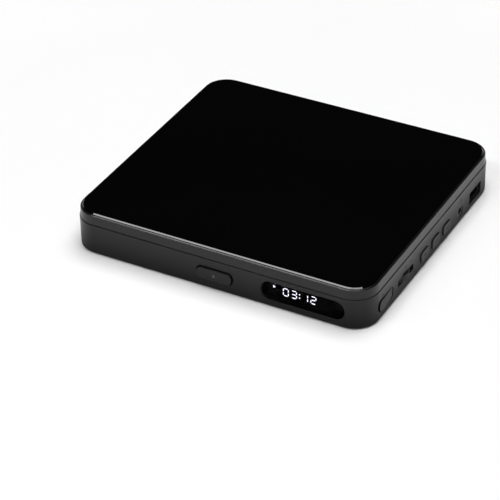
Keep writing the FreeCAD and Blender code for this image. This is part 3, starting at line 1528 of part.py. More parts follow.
make_base_tub()
make_feet()
make_deck()
make_lid()
make_hinge_pins()
make_display()
make_open_button()
make_latch_tongue()
make_power_rocker()
make_power_switch()
make_volume()
make_keys()
make_headphone_jack()
make_sound_jack()
make_power_inlet()
make_media_port()
make_video_socket()
make_main_board()
make_traverse()
make_spindle()
make_guide_rods()
make_sled()
make_feed_gears()
make_rack()
make_ribbon()
export_nodes()
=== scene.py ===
# %% [markdown]
# # A small disc player with a lid on top
#
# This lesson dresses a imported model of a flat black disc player. The shapes come from the frame:
# a tub, a lid that hinges at the back, and the drive under its deck. Here they get their finishes,
# and the small things that are easier to draw in a modeller: lit figures, printed marks, screws,
# feet, the pickup's lens, the springy tongue of the latch and the pickup's flat cable.

# %% Load the frame
import math

import bmesh
import bpy
from mathutils import Matrix, Vector


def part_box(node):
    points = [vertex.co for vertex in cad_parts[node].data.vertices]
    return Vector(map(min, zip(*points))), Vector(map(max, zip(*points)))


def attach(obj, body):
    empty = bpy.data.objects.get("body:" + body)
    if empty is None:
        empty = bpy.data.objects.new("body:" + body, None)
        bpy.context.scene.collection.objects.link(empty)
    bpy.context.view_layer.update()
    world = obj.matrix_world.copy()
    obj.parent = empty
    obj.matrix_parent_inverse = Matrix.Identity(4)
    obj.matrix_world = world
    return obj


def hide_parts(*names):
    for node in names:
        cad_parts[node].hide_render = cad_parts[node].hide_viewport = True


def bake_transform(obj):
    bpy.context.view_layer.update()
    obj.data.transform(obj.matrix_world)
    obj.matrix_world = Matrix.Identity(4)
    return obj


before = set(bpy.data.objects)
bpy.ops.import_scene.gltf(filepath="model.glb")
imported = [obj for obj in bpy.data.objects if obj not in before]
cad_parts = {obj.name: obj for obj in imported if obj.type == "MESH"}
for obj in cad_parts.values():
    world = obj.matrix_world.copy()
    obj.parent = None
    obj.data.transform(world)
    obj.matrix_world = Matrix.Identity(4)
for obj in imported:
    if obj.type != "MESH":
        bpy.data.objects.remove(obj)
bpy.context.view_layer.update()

# %% [markdown]
# ## The camera
#
# The player is seen from the front right, from above. A long lens keeps the far edges nearly
# parallel to the near ones. The direction, distance and lens were worked out from the straight
# edges of the case, so the camera is set by those numbers and not by eye.

# %% Set the camera
CAMERA_PLACE = Vector((0.422463, -0.808650, 0.600952))
CAMERA_AZIMUTH = math.radians(28.743)
CAMERA_ELEVATION = math.radians(34.3025)
CAMERA_ROLL = math.radians(-1.0110)
CAMERA_LENS = 157.6
SENSOR_WIDTH = 36
NEAR_CLIP = 0.01


def look_direction(azimuth, elevation):
    flat = math.cos(elevation)
    return Vector((math.sin(azimuth) * flat, -math.cos(azimuth) * flat, math.sin(elevation)))


towards_camera = look_direction(CAMERA_AZIMUTH, CAMERA_ELEVATION)
level = Vector((math.cos(CAMERA_AZIMUTH), math.sin(CAMERA_AZIMUTH), 0))
upright = towards_camera.cross(level)
facing = Matrix((level, upright, towards_camera)).transposed().to_4x4()
camera = bpy.data.objects.new("camera", bpy.data.cameras.new("camera"))
camera.data.lens = CAMERA_LENS
camera.data.sensor_width = SENSOR_WIDTH
camera.data.clip_start = NEAR_CLIP
camera.matrix_world = Matrix.Translation(CAMERA_PLACE) @ facing @ Matrix.Rotation(CAMERA_ROLL, 4, "Z")
bpy.context.scene.collection.objects.link(camera)
bpy.context.scene.camera = camera
bpy.context.scene.view_settings.view_transform = "Standard"
print("camera at", [round(c, 3) for c in camera.location], "lens", camera.data.lens)

# %% [markdown]
# ## Helpers for finishes
#
# Every finish starts the same way: a shader, and noise on Object coordinates, in metres, that
# varies its colour and its roughness a little. Moulded plastic also has a fine grain from the
# spark-eroded mould, which is a very shallow bump, and edges that are never quite sharp, which
# the Bevel node rounds in the shading alone.

# %% Nodes and ramps
WANDER_SPAN = (0.3, 0.7)


def grey(value):
    return (value, value, value)


def add_node(tree, kind, **values):
    node = tree.nodes.new(kind)
    for name, value in values.items():
        setattr(node, name, value)
    return node


def ramp(tree, factor, stops):
    node = add_node(tree, "ShaderNodeValToRGB")
    while len(node.color_ramp.elements) < len(stops):
        node.color_ramp.elements.new(1)
    for element, (place, colour) in zip(node.color_ramp.elements, stops):
        element.position = place
        element.color = (*colour, 1)
    tree.links.new(factor, node.inputs["Fac"])
    return node.outputs["Color"]


def start_finish(name):
    finish = bpy.data.materials.new(name)
    finish.use_nodes = True
    return finish, finish.node_tree, finish.node_tree.nodes["Principled BSDF"]


def noise_on(tree, scale, detail=2.0, stretch=(1, 1, 1)):
    place = add_node(tree, "ShaderNodeTexCoord")
    turn = add_node(tree, "ShaderNodeMapping")
    turn.inputs["Scale"].default_value = stretch
    noise = add_node(tree, "ShaderNodeTexNoise")
    noise.inputs["Scale"].default_value = scale
    noise.inputs["Detail"].default_value = detail
    tree.links.new(place.outputs["Object"], turn.inputs["Vector"])
    tree.links.new(turn.outputs["Vector"], noise.inputs["Vector"])
    return noise.outputs["Fac"]


def vary(tree, shader, socket, scale, low, high, stretch=(1, 1, 1)):
    """Let a socket wander between two values."""
    low = grey(low) if isinstance(low, float) else low
    high = grey(high) if isinstance(high, float) else high
    wander = ramp(tree, noise_on(tree, scale, stretch=stretch), list(zip(WANDER_SPAN, (low, high))))
    tree.links.new(wander, shader.inputs[socket])


print("helpers ready")

# %% [markdown]
# ## The stage
#
# A black object on white is lit by what it reflects. Its satin sides mirror the pale floor close
# to it, where its own shadow lies, and its gloss top mirrors whatever is behind it at the same
# height as the camera, which is dark. So the floor is pale, the sky is pale only near the horizon,
# and a broad lamp hangs almost straight overhead, which keeps the shadow tight. A long narrow bank
# in front is what the two chamfers along the front edge of the lid mirror, as two bright lines, and
# a smaller one carries them round the corner.

# %% Sky
HORIZON_TONE = 0.85
HORIZON_TOP = 0.1
SKY_TONE = 0.012
SKY_FROM = 0.3

sky = bpy.data.worlds.new("studio")
sky.use_nodes = True
bpy.context.scene.world = sky
way = add_node(sky.node_tree, "ShaderNodeTexCoord")
parts = add_node(sky.node_tree, "ShaderNodeSeparateXYZ")
sky.node_tree.links.new(way.outputs["Generated"], parts.inputs["Vector"])
tones = [
    (0, grey(HORIZON_TONE)), (HORIZON_TOP, grey(HORIZON_TONE)), (SKY_FROM, grey(SKY_TONE)),
    (1, grey(SKY_TONE))]
tone = ramp(sky.node_tree, parts.outputs["Z"], tones)
sky.node_tree.links.new(tone, sky.node_tree.nodes["Background"].inputs["Color"])
print("sky:", sky.name)

# %% Floor
FLOOR_HALF = 8
FLOOR_TONES = (0.79, 0.81)
FLOOR_CLOUDS = 3
FLOOR_ROUGH = 0.9
FLOOR_GLOW_NEAR = 0.03
FLOOR_GLOW_FAR = 0.7
FLOOR_GLOW_REACH = (0.2, 2.0)


def link_piece(name, mesh_tool, finish):
    """Close a bmesh into an object at the origin."""
    mesh = bpy.data.meshes.new(name)
    mesh_tool.to_mesh(mesh)
    mesh_tool.free()
    piece = bpy.data.objects.new(name, mesh)
    bpy.context.scene.collection.objects.link(piece)
    mesh.materials.append(finish)
    return piece


def pale_floor():
    """A pale sheet that glows a little where it is seen or mirrored, and more where the lamps fade."""
    finish, tree, shader = start_finish("pale_floor")
    vary(tree, shader, "Base Color", FLOOR_CLOUDS, *FLOOR_TONES)
    shader.inputs["Roughness"].default_value = FLOOR_ROUGH
    shader.inputs["Specular IOR Level"].default_value = 0.0
    ray = add_node(tree, "ShaderNodeLightPath")
    seen = ray.outputs["Is Camera Ray"]
    for name in ("Is Glossy Ray", "Is Transmission Ray"):
        most = add_node(tree, "ShaderNodeMath", operation="MAXIMUM")
        tree.links.new(seen, most.inputs[0])
        tree.links.new(ray.outputs[name], most.inputs[1])
        seen = most.outputs["Value"]
    place = add_node(tree, "ShaderNodeTexCoord")
    away = add_node(tree, "ShaderNodeVectorMath", operation="LENGTH")
    tree.links.new(place.outputs["Object"], away.inputs[0])
    spread = add_node(tree, "ShaderNodeMapRange")
    spread.inputs["From Min"].default_value, spread.inputs["From Max"].default_value = FLOOR_GLOW_REACH
    spread.inputs["To Min"].default_value = FLOOR_GLOW_NEAR
    spread.inputs["To Max"].default_value = FLOOR_GLOW_FAR
    tree.links.new(away.outputs["Value"], spread.inputs["Value"])
    glow = add_node(tree, "ShaderNodeMath", operation="MULTIPLY")
    tree.links.new(seen, glow.inputs[0])
    tree.links.new(spread.outputs["Result"], glow.inputs[1])
    tree.links.new(glow.outputs["Value"], shader.inputs["Emission Strength"])
    shader.inputs["Emission Color"].default_value = (1, 1, 1, 1)
    return finish


sheet = bmesh.new()
bmesh.ops.create_grid(sheet, x_segments=1, y_segments=1, size=FLOOR_HALF)
floor = link_piece("floor", sheet, pale_floor())
print("floor:", [round(side, 1) for side in floor.dimensions])

# %% Lamps


def hang_lamp(name, place, width, length, along, power):
    """An area lamp that faces the player, with its length along a given direction."""
    back = Vector(place).normalized()
    across = Vector(along).cross(back).normalized()
    turn = Matrix((across, back.cross(across), back)).transposed().to_4x4()
    lamp = bpy.data.objects.new(name, bpy.data.lights.new(name, "AREA"))
    lamp.data.shape = "RECTANGLE"
    lamp.data.size = width
    lamp.data.size_y = length
    lamp.data.energy = power
    lamp.matrix_world = Matrix.Translation(place) @ turn
    bpy.context.scene.collection.objects.link(lamp)


hang_lamp("overhead_lamp", place=(0.075, 0.2, 1.7), width=1.15, length=1.45, along=(0, 1, 0), power=31.5)
hang_lamp("front_bank", place=(-0.37, -0.997, 1.259), width=0.2, length=1.22, along=(1, 0, 0), power=7.2)
hang_lamp("corner_bank", place=(0.66, -0.766, 1.33), width=0.11, length=1.05, along=(0.79, 0.61, 0),
          power=2.9)

# %% [markdown]
# ## Plastics, rubber and metals
#
# The case is black plastic with a satin skin: almost no colour of its own, and a soft mirror that
# shows the floor. Low down its mirror is dimmed and its skin made rougher, a painted shade that
# darkens the lower sides. The buttons are the same plastic from a slightly smoother mould, and the
# rocker from a duller one.
# Inside, the deck is duller still, the drive's moving parts are grey acetal, and the metal parts are
# plated, ground or wound, which shows in how they are brushed.

# %% Families of finish
GRAIN_STRENGTH = 0.5
GRAIN_DETAIL = 1.0
EDGE_SAMPLES = 4
PLASTIC_CLOUDS = 40
PLASTIC_WIPES = 22
PLASTIC_SPREAD = 0.04
METAL_CLOUDS = 90
METAL_BRUSHING = 300
METAL_SPREAD = 0.07
METAL_GRAIN = 1500
METAL_GRAIN_DEPTH = 0.000004


def grain_and_edges(tree, shader, scale, depth, edge):
    """A shallow bump for the grain, over edges that are rounded in the shading."""
    bump = add_node(tree, "ShaderNodeBump")
    bump.inputs["Strength"].default_value = GRAIN_STRENGTH
    bump.inputs["Distance"].default_value = depth
    tree.links.new(noise_on(tree, scale, GRAIN_DETAIL), bump.inputs["Height"])
    if edge:
        rounded = add_node(tree, "ShaderNodeBevel", samples=EDGE_SAMPLES)
        rounded.inputs["Radius"].default_value = edge
        tree.links.new(rounded.outputs["Normal"], bump.inputs["Normal"])
    tree.links.new(bump.outputs["Normal"], shader.inputs["Normal"])


def paint_shade_towards_foot(tree, shader, socket, low):
    """Painted shade: let a value drift from what it is at the rim of the tub to another at its foot, so
    that the lower sides mirror less and read darker.
    """
    foot, rim = (corner.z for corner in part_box("base_tub"))
    place = add_node(tree, "ShaderNodeTexCoord")
    parts = add_node(tree, "ShaderNodeSeparateXYZ")
    drift = add_node(tree, "ShaderNodeMapRange")
    goal = shader.inputs[socket]
    for name, value in (("From Min", foot), ("From Max", rim), ("To Min", low)):
        drift.inputs[name].default_value = value
    if goal.is_linked:
        tree.links.new(goal.links[0].from_socket, drift.inputs["To Max"])
    else:
        drift.inputs["To Max"].default_value = goal.default_value
    tree.links.new(place.outputs["Object"], parts.inputs["Vector"])
    tree.links.new(parts.outputs["Z"], drift.inputs["Value"])
    tree.links.new(drift.outputs["Result"], goal)


def plastic(name, low, high, rough, grain=2600, depth=0.00001, edge=0.0002, shine=0.5, painted_shade_at_foot=None):
    """Moulded plastic. Where the last argument is given, it is the shine and the roughness at the foot:
    a painted shade that darkens the lower sides.
    """
    finish, tree, shader = start_finish(name)
    shader.inputs["Specular IOR Level"].default_value = shine
    vary(tree, shader, "Base Color", PLASTIC_CLOUDS, low, high)
    vary(tree, shader, "Roughness", PLASTIC_WIPES, rough - PLASTIC_SPREAD, rough + PLASTIC_SPREAD)
    grain_and_edges(tree, shader, grain, depth, edge)
    if painted_shade_at_foot is not None:
        shaded_foot_shine, shaded_foot_rough = painted_shade_at_foot
        paint_shade_towards_foot(tree, shader, "Specular IOR Level", shaded_foot_shine)
        paint_shade_towards_foot(tree, shader, "Roughness", shaded_foot_rough)
    return finish


def metal(name, low, high, rough, stretch=(1, 1, 1), edge=0.0001):
    finish, tree, shader = start_finish(name)
    shader.inputs["Metallic"].default_value = 1
    vary(tree, shader, "Base Color", METAL_CLOUDS, low, high)
    vary(tree, shader, "Roughness", METAL_BRUSHING, rough - METAL_SPREAD, rough + METAL_SPREAD, stretch)
    grain_and_edges(tree, shader, METAL_GRAIN, METAL_GRAIN_DEPTH, edge)
    return finish


def dress(finish, *names):
    for name in names:
        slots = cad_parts[name].data.materials
        slots.clear()
        slots.append(finish)
    print(finish.name, "on", ", ".join(names))


# %% Case, controls and deck
CASE_BLACK = ((0.004, 0.004, 0.0043), (0.006, 0.006, 0.0064))

# The tub and the controls get a painted shade: their shine falls and their roughness rises towards the
# foot, so their lower sides read darker.
dress(plastic("satin_case", *CASE_BLACK, rough=0.26, edge=0.0005, shine=0.32, painted_shade_at_foot=(0.15, 0.62)),
      "base_tub")
dress(plastic("satin_lid", *CASE_BLACK, rough=0.22, shine=0.37), "lid_shell")
dress(plastic("control_satin", *CASE_BLACK, rough=0.24, edge=0.0004, shine=0.34, painted_shade_at_foot=(0.16, 0.55)),
      "open_button", "volume_wheel", "key_back", "key_play", "key_forward")
dress(plastic("rocker_satin", *CASE_BLACK, rough=0.28, edge=0.0004, shine=0.08), "power_rocker")
dress(plastic("deck_matt", (0.012, 0.012, 0.013), (0.017, 0.017, 0.018), rough=0.55, depth=0.00002),
      "deck")

# %% Mouldings and rubber
black_moulding = plastic("black_moulding", (0.006, 0.006, 0.0065), (0.010, 0.010, 0.0105), rough=0.45)
dress(black_moulding, "infrared_receiver", "board_chips", "key_switches", "power_switch", "volume_pot",
      "headphone_jack", "sound_jack", "power_inlet", "media_port_tongue", "video_socket_tongue",
      "feed_motor")
dress(plastic("unlit_block", (0.0008, 0.0008, 0.001), (0.0014, 0.0014, 0.0016), rough=0.6, shine=0.1),
      "display_digits")
grey_acetal = plastic(
    "grey_acetal", (0.035, 0.035, 0.037), (0.05, 0.05, 0.052), rough=0.33, depth=0.000004)
dress(grey_acetal, "turntable", "pickup_sled", "sled_rack", "feed_gear", "feed_pinion", "rod_holders",
      "lens_holder", "ribbon_socket")
dress(plastic("natural_plastic", (0.55, 0.53, 0.46), (0.62, 0.60, 0.53), rough=0.4),
      "key_back_plunger", "key_play_plunger", "key_forward_plunger")
rubber = plastic("rubber", grey(0.012), grey(0.022), rough=0.8, grain=1400, depth=0.00004)
dress(rubber, "lid_bumpers", "traverse_dampers", "turntable_pad")

# %% Metals
plated_steel = metal("plated_steel", (0.58, 0.58, 0.59), (0.66, 0.66, 0.67), rough=0.3)
dress(plated_steel, "hinge_pins", "board_screws", "traverse_screws", "traverse_plate", "spindle_rotor",
      "spindle_motor_base", "actuator_yokes", "disc_clamp_balls")
# The socket shells are darker than plated metal: a painted shade standing in for the shade inside their
# openings.
dress(metal("socket_shell", (0.16, 0.155, 0.15), (0.22, 0.215, 0.21), rough=0.34),
      "media_port_shell", "video_socket_shell")
dress(metal("ground_rod", (0.64, 0.64, 0.65), (0.72, 0.72, 0.73), rough=0.15, stretch=(0.05, 1, 1)),
      "guide_rods", "feed_gear_pin")
dress(metal("copper_winding", (0.55, 0.24, 0.12), (0.68, 0.32, 0.16), rough=0.3), "spindle_stator")
dress(metal("aluminium_can", (0.68, 0.69, 0.71), (0.76, 0.77, 0.79), rough=0.3, stretch=(1, 1, 0.05)),
      "board_capacitors")
dress(metal("gilt_contact", (0.72, 0.5, 0.18), (0.82, 0.6, 0.26), rough=0.25), "media_port_contacts")

# %% [markdown]
# ## Gloss, glass and boards
#
# The lid's top plate is polished until nothing of the mould shows, so it has no grain and only a
# faint cloudiness from wiping. The window is a smoked clear plastic with a coating against glare,
# which is why its index is low: it stays black under a white floor and lets the lit figures
# through. Circuit boards are glass fibre under green lacquer, with copper runs that show as
# slightly lighter lines.

# %% Top plate
GLOSS_BLACK = ((0.0004, 0.0004, 0.0006), (0.0007, 0.0007, 0.0009))
GLOSS_CLOUDS = 12
GLOSS_ROUGH = (0.035, 0.075)
GLOSS_WIPES = 9
WIPE_STRETCH = (1, 0.35, 1)


def piano_black():
    finish, tree, shader = start_finish("piano_black")
    vary(tree, shader, "Base Color", GLOSS_CLOUDS, *GLOSS_BLACK)
    vary(tree, shader, "Roughness", GLOSS_WIPES, *GLOSS_ROUGH, WIPE_STRETCH)
    return finish


dress(piano_black(), "lid_panel")

# %% Window
WINDOW_INDEX = 1.09
WINDOW_TINTS = ((0.145, 0.14, 0.16), (0.17, 0.165, 0.185))
WINDOW_CLOUDS = 60
WINDOW_ROUGH = (0.02, 0.04)
WINDOW_WIPES = 80


def smoked_window():
    finish, tree, shader = start_finish("smoked_window")
    shader.inputs["Transmission Weight"].default_value = 1
    shader.inputs["IOR"].default_value = WINDOW_INDEX
    vary(tree, shader, "Base Color", WINDOW_CLOUDS, *WINDOW_TINTS)
    vary(tree, shader, "Roughness", WINDOW_WIPES, *WINDOW_ROUGH)
    return finish


dress(smoked_window(), "display_lens")

# %% Circuit boards


def green_board():
    finish, tree, shader = start_finish("green_board")
    place = add_node(tree, "ShaderNodeTexCoord")
    runs = add_node(tree, "ShaderNodeTexBrick")
    runs.inputs["Scale"].default_value = 260
    runs.inputs["Mortar Size"].default_value = 0.06
    runs.inputs["Color1"].default_value = (0.012, 0.10, 0.035, 1)
    runs.inputs["Color2"].default_value = (0.016, 0.12, 0.042, 1)
    runs.inputs["Mortar"].default_value = (0.035, 0.19, 0.07, 1)
    tree.links.new(place.outputs["Object"], runs.inputs["Vector"])
    tree.links.new(runs.outputs["Color"], shader.inputs["Base Color"])
    vary(tree, shader, "Roughness", 120, 0.3, 0.42)
    return finish


dress(green_board(), "main_board", "display_board", "key_board")

# %% [markdown]
# ## Strokes for figures and marks
#
# The lit figures and the printed marks are flat shapes built from three strokes: a bar, an arrow
# head and an arc. They could be text, but then they would depend on a font. Each stroke is a thin
# solid, drawn in millimetres on a sheet with X across and Y up, and a matrix then lays the sheet
# on the front or on the right side of the case.

# %% Bars, arrows and arcs
MM = 0.001
INK = 0.04
ARC_STEPS = 24
WHOLE_TURN = 360
HALF_TURN = 180
UPWARDS, LEFTWARDS, DOWNWARDS, RIGHTWARDS = 0, 90, 180, -90


def bar(mark, across, up, width, height, point=0.0):
    """A straight stroke, with its corners cut where a length is given."""
    shape = Matrix.Translation((across, up, 0)) @ Matrix.Diagonal((width, height, INK, 1))
    corners = bmesh.ops.create_cube(mark, size=1, matrix=shape)["verts"]
    if point:
        edges = {edge for corner in corners for edge in corner.link_edges}
        upright = [edge for edge in edges if abs(edge.verts[0].co.z - edge.verts[1].co.z) > INK / 2]
        bmesh.ops.bevel(
            mark, geom=upright, offset=point, affect="EDGES", segments=1, profile=0.5, material=-1)


def arrow(mark, across, up, radius, turn):
    """A three-sided head that points up before its turn."""
    shape = Matrix.Translation((across, up, 0)) @ Matrix.Rotation(math.radians(turn), 4, "Z")
    bmesh.ops.create_cone(
        mark, cap_ends=True, segments=3, radius1=radius, radius2=radius, depth=INK, matrix=shape)


def arc(mark, across, up, radius, stroke, first, sweep):
    """Part of a ring, or a whole one, spun from a small upright face."""
    spot = Matrix.Translation((across, up, 0)) @ Matrix.Rotation(math.radians(first), 4, "Z")
    stand = Matrix.Translation((radius, 0, 0)) @ Matrix.Rotation(math.radians(90), 4, "X")
    shape = spot @ stand @ Matrix.Diagonal((stroke, INK, 1, 1))
    corners = bmesh.ops.create_grid(mark, x_segments=1, y_segments=1, size=0.5, matrix=shape)["verts"]
    edges = list({edge for corner in corners for edge in corner.link_edges})
    faces = list({face for corner in corners for face in corner.link_faces})
    whole = sweep == WHOLE_TURN
    if whole:
        bmesh.ops.delete(mark, geom=faces, context="FACES_ONLY")
        faces = []
    bmesh.ops.spin(
        mark, geom=corners + edges + faces, cent=(across, up, 0), axis=(0, 0, 1),
        angle=math.radians(sweep), steps=ARC_STEPS, use_merge=whole)


def on_front(across, depth, up):
    """Lays a sheet on the front: its Y is up, and it faces the viewer."""
    return Matrix(((1, 0, 0, across), (0, 0, -1, depth), (0, 1, 0, up), (0, 0, 0, 1)))


def on_right(depth, along, up):
    """Lays a sheet on the right side: its X runs to the back."""
    return Matrix(((0, 0, 1, depth), (1, 0, 0, along), (0, 1, 0, up), (0, 0, 0, 1)))


def lay(name, mark, place, finish, body):
    """Make a piece of a sheet of strokes, at its place and on its body."""
    bmesh.ops.transform(mark, matrix=place @ Matrix.Scale(MM, 4), verts=mark.verts)
    bmesh.ops.recalc_face_normals(mark, faces=mark.faces)
    piece = link_piece(name, mark, finish)
    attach(piece, body)
    print(name, "rides on", body, "with", len(piece.data.polygons), "faces")


# %% [markdown]
# ## The lit figures
#
# Behind the window a block of light guides shows the time in bars, seven to a figure. Only the lit
# bars are seen. They stand on the front of the block, touching the back of the window, and glow a
# cool white with a little violet. A small arrow beside them is lit while a disc plays.

# %% Figures of bars
SHOWN = "03 12"
LIT_BARS = {"0": "abcdef", "1": "bc", "2": "abged", "3": "abgcd"}
FIGURE_WIDTH = 3.0
FIGURE_HEIGHT = 4.4
FIGURE_STROKE = 0.42
FIGURE_GAP = 0.66
FIGURE_PITCH = 4.3
COLON_ROOM = 1.5
COLON_DROP = 0.95
COLON_DOT = 0.6
FIGURE_GLOW = 4.4


def lit_figure(mark, figure, across):
    """One figure of seven bars, lettered clockwise from the top, with the middle bar last."""
    side = (FIGURE_WIDTH - FIGURE_STROKE) / 2
    top = (FIGURE_HEIGHT - FIGURE_STROKE) / 2
    flat = 2 * side - FIGURE_GAP
    tall = top - FIGURE_GAP
    bars = {
        "a": (0, top, flat, FIGURE_STROKE), "g": (0, 0, flat, FIGURE_STROKE),
        "d": (0, -top, flat, FIGURE_STROKE), "b": (side, top / 2, FIGURE_STROKE, tall),
        "c": (side, -top / 2, FIGURE_STROKE, tall), "e": (-side, -top / 2, FIGURE_STROKE, tall),
        "f": (-side, top / 2, FIGURE_STROKE, tall),
    }
    for letter in LIT_BARS[figure]:
        middle, up, width, height = bars[letter]
        bar(mark, across + middle, up, width, height, FIGURE_STROKE / 3)


def glow_white():
    finish, tree, shader = start_finish("lit_figure")
    vary(tree, shader, "Base Color", 900, 0.5, 0.6)
    vary(tree, shader, "Emission Color", 700, (0.88, 0.86, 1.0), (0.96, 0.94, 1.0))
    shader.inputs["Emission Strength"].default_value = FIGURE_GLOW
    return finish


# %% Show the time
FIRST_FIGURE = 2.8
FIGURE_RISE = 0.35
PLAY_LIGHT = (-3.35, 1.8)
PLAY_LIGHT_SIZE = 0.85

lit = glow_white()
block_low, block_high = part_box("display_digits")
figures = bmesh.new()
across = FIRST_FIGURE
for figure in SHOWN:
    if figure == " ":
        colon = across - (FIGURE_PITCH - COLON_ROOM) / 2
        across += COLON_ROOM
        continue
    lit_figure(figures, figure, across)
    across += FIGURE_PITCH
for drop in (COLON_DROP, -COLON_DROP):
    bar(figures, colon, drop, COLON_DOT, COLON_DOT, COLON_DOT / 4)
block_middle = (block_low.z + block_high.z) / 2
sheet_place = on_front(block_low.x, block_low.y, block_middle + FIGURE_RISE * MM)
lay("lit_figures", figures, sheet_place, lit, "base")
play_light = bmesh.new()
arrow(play_light, *PLAY_LIGHT, PLAY_LIGHT_SIZE, RIGHTWARDS)
light_place = on_front(block_low.x, block_low.y, block_middle)
lay("play_light", play_light, light_place, lit, "base")

# %% [markdown]
# ## Printed marks
#
# Small marks say what each control does. On the side they are printed in a matt grey ink that is
# duller than the satin round it, so they read as dark on a lit side. Every mark is a common sign:
# a ring and a bar for off and on, minus, a wedge and plus for loudness, a headband over the jack,
# and arrows on the keys and on the open button.

# %% Inks


def ink(name, low, high):
    finish, tree, shader = start_finish(name)
    vary(tree, shader, "Base Color", 500, low, high)
    vary(tree, shader, "Roughness", 300, 0.75, 0.9)
    shader.inputs["Specular IOR Level"].default_value = 0.15
    return finish


dull_ink = ink("dull_ink", 0.012, 0.018)
pale_ink = ink("pale_ink", 0.14, 0.18)
print("inks:", dull_ink.name, pale_ink.name)

# %% Marks by the rocker, the wheel and the sockets
ROCKER_MARK_SPREAD = 4.0
WHEEL_MARK_SPREAD = 5.75
MARK_RISE = 0.0127
ARC_STROKE = 0.25
SIGN_STROKE = 0.28
SIGN_LENGTH = 1.1
RING_RADIUS = 0.6
ON_LENGTH = 1.4
WEDGE_SIZE = 0.8
HEADBAND_RADIUS = 0.95
EARPIECE = {"up": -0.4, "width": 0.5, "height": 0.8, "point": 0.1}
PORT_ARROW = 0.7

side_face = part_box("base_tub")[1].x


def middle_of(node):
    low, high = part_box(node)
    return (low + high) / 2


rocker_marks = bmesh.new()
arc(rocker_marks, -ROCKER_MARK_SPREAD, 0, RING_RADIUS, ARC_STROKE, 0, WHOLE_TURN)
bar(rocker_marks, ROCKER_MARK_SPREAD, 0, SIGN_STROKE, ON_LENGTH)
rocker_place = on_right(side_face, middle_of("power_rocker").y, MARK_RISE)
lay("rocker_marks", rocker_marks, rocker_place, dull_ink, "base")

wheel_marks = bmesh.new()
bar(wheel_marks, -WHEEL_MARK_SPREAD, 0, SIGN_LENGTH, SIGN_STROKE)
arrow(wheel_marks, 0, 0, WEDGE_SIZE, LEFTWARDS)
bar(wheel_marks, WHEEL_MARK_SPREAD, 0, SIGN_LENGTH, SIGN_STROKE)
bar(wheel_marks, WHEEL_MARK_SPREAD, 0, SIGN_STROKE, SIGN_LENGTH)
wheel_place = on_right(side_face, middle_of("volume_wheel").y, MARK_RISE)
lay("wheel_marks", wheel_marks, wheel_place, dull_ink, "base")

headband = bmesh.new()
arc(headband, 0, 0, HEADBAND_RADIUS, ARC_STROKE, 0, HALF_TURN)
for side in (-HEADBAND_RADIUS, HEADBAND_RADIUS):
    bar(headband, side, **EARPIECE)
headband_place = on_right(side_face, middle_of("headphone_jack").y, MARK_RISE)
lay("headband_mark", headband, headband_place, dull_ink, "base")

port_mark = bmesh.new()
arrow(port_mark, 0, 0, PORT_ARROW, DOWNWARDS)
port_place = on_right(side_face, middle_of("media_port_shell").y, MARK_RISE)
lay("port_mark", port_mark, port_place, dull_ink, "base")

# %% Marks on the keys and the open button
KEY_ARROW = 0.75
KEY_BAR = {"width": 0.3, "height": 1.3}
OPEN_ARROW = {"up": 0.25, "radius": 0.75}
OPEN_BAR = {"up": -0.55, "width": 1.3, "height": 0.35}


def key_mark(name, strokes):
    """Arrows and bars in a row on a key's face. A stroke without a turn is a bar."""
    mark = bmesh.new()
    for across, turn in strokes:
        if turn is None:
            bar(mark, across, 0, **KEY_BAR)
        else:
            arrow(mark, across, 0, KEY_ARROW, turn)
    place = on_right(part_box(name)[1].x, middle_of(name).y, middle_of(name).z)
    lay(name + "_mark", mark, place, dull_ink, name)


key_mark("key_back", [(-1.3, None), (-0.4, LEFTWARDS), (0.8, LEFTWARDS)])
key_mark("key_play", [(-0.8, RIGHTWARDS), (0.6, None), (1.3, None)])
key_mark("key_forward", [(-0.8, RIGHTWARDS), (0.4, RIGHTWARDS), (1.3, None)])

open_mark = bmesh.new()
arrow(open_mark, 0, turn=UPWARDS, **OPEN_ARROW)
bar(open_mark, 0, **OPEN_BAR)
button_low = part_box("open_button")[0]
open_place = on_front(0, button_low.y, middle_of("open_button").z)
lay("open_mark", open_mark, open_place, pale_ink, "open_button")

# %% [markdown]
# ## Screws, feet and the lens
#
# These are turned shapes, so each is an outline spun round its axis. The deck screws have a pan
# head, and their cross is not a picture of one: the flat top is cut by planes, and the faces that
# make the cross are pushed down. A foot is a rubber pad with a dished middle, so that it stands on
# a ring. The lens is a small dome on a flat rim.

# %% Spin an outline
TURN_STEPS = 40
SHARP_FROM = 35


def turned(outline):
    """Spin an outline of radius and level round Z, in millimetres, and close it."""
    shape = bmesh.new()
    points = [shape.verts.new((radius, 0, height)) for radius, height in outline]
    edges = [shape.edges.new(pair) for pair in zip(points, points[1:])]
    bmesh.ops.spin(
        shape, geom=points + edges, cent=(0, 0, 0), axis=(0, 0, 1), angle=math.tau, steps=TURN_STEPS,
        use_merge=True)
    bmesh.ops.remove_doubles(shape, verts=shape.verts, dist=MM)
    bmesh.ops.recalc_face_normals(shape, faces=shape.faces)
    return shape


def set_out(name, shape, places, finish, body, node):
    """Copies of a shape at places in metres, as one piece that stands for a node."""
    bmesh.ops.scale(shape, vec=(MM, MM, MM), verts=shape.verts)
    whole = bmesh.new()
    one = bpy.data.meshes.new(name + "_one")
    shape.to_mesh(one)
    shape.free()
    for place in places:
        before = len(whole.verts)
        whole.from_mesh(one)
        whole.verts.ensure_lookup_table()
        bmesh.ops.translate(whole, vec=place, verts=whole.verts[before:])
    bpy.data.meshes.remove(one)
    piece = link_piece(name, whole, finish)
    for face in piece.data.polygons:
        face.use_smooth = True
    piece.data.set_sharp_from_angle(angle=math.radians(SHARP_FROM))
    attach(piece, body)
    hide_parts(node)
    print(name, "at", len(places), "places,", len(piece.data.polygons), "faces")


def four_corners(node, radius):
    """Where four round things stand, from their shared box and their radius."""
    low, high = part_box(node)
    reach = radius * MM
    return [(x, y) for x in (low.x + reach, high.x - reach) for y in (low.y + reach, high.y - reach)]


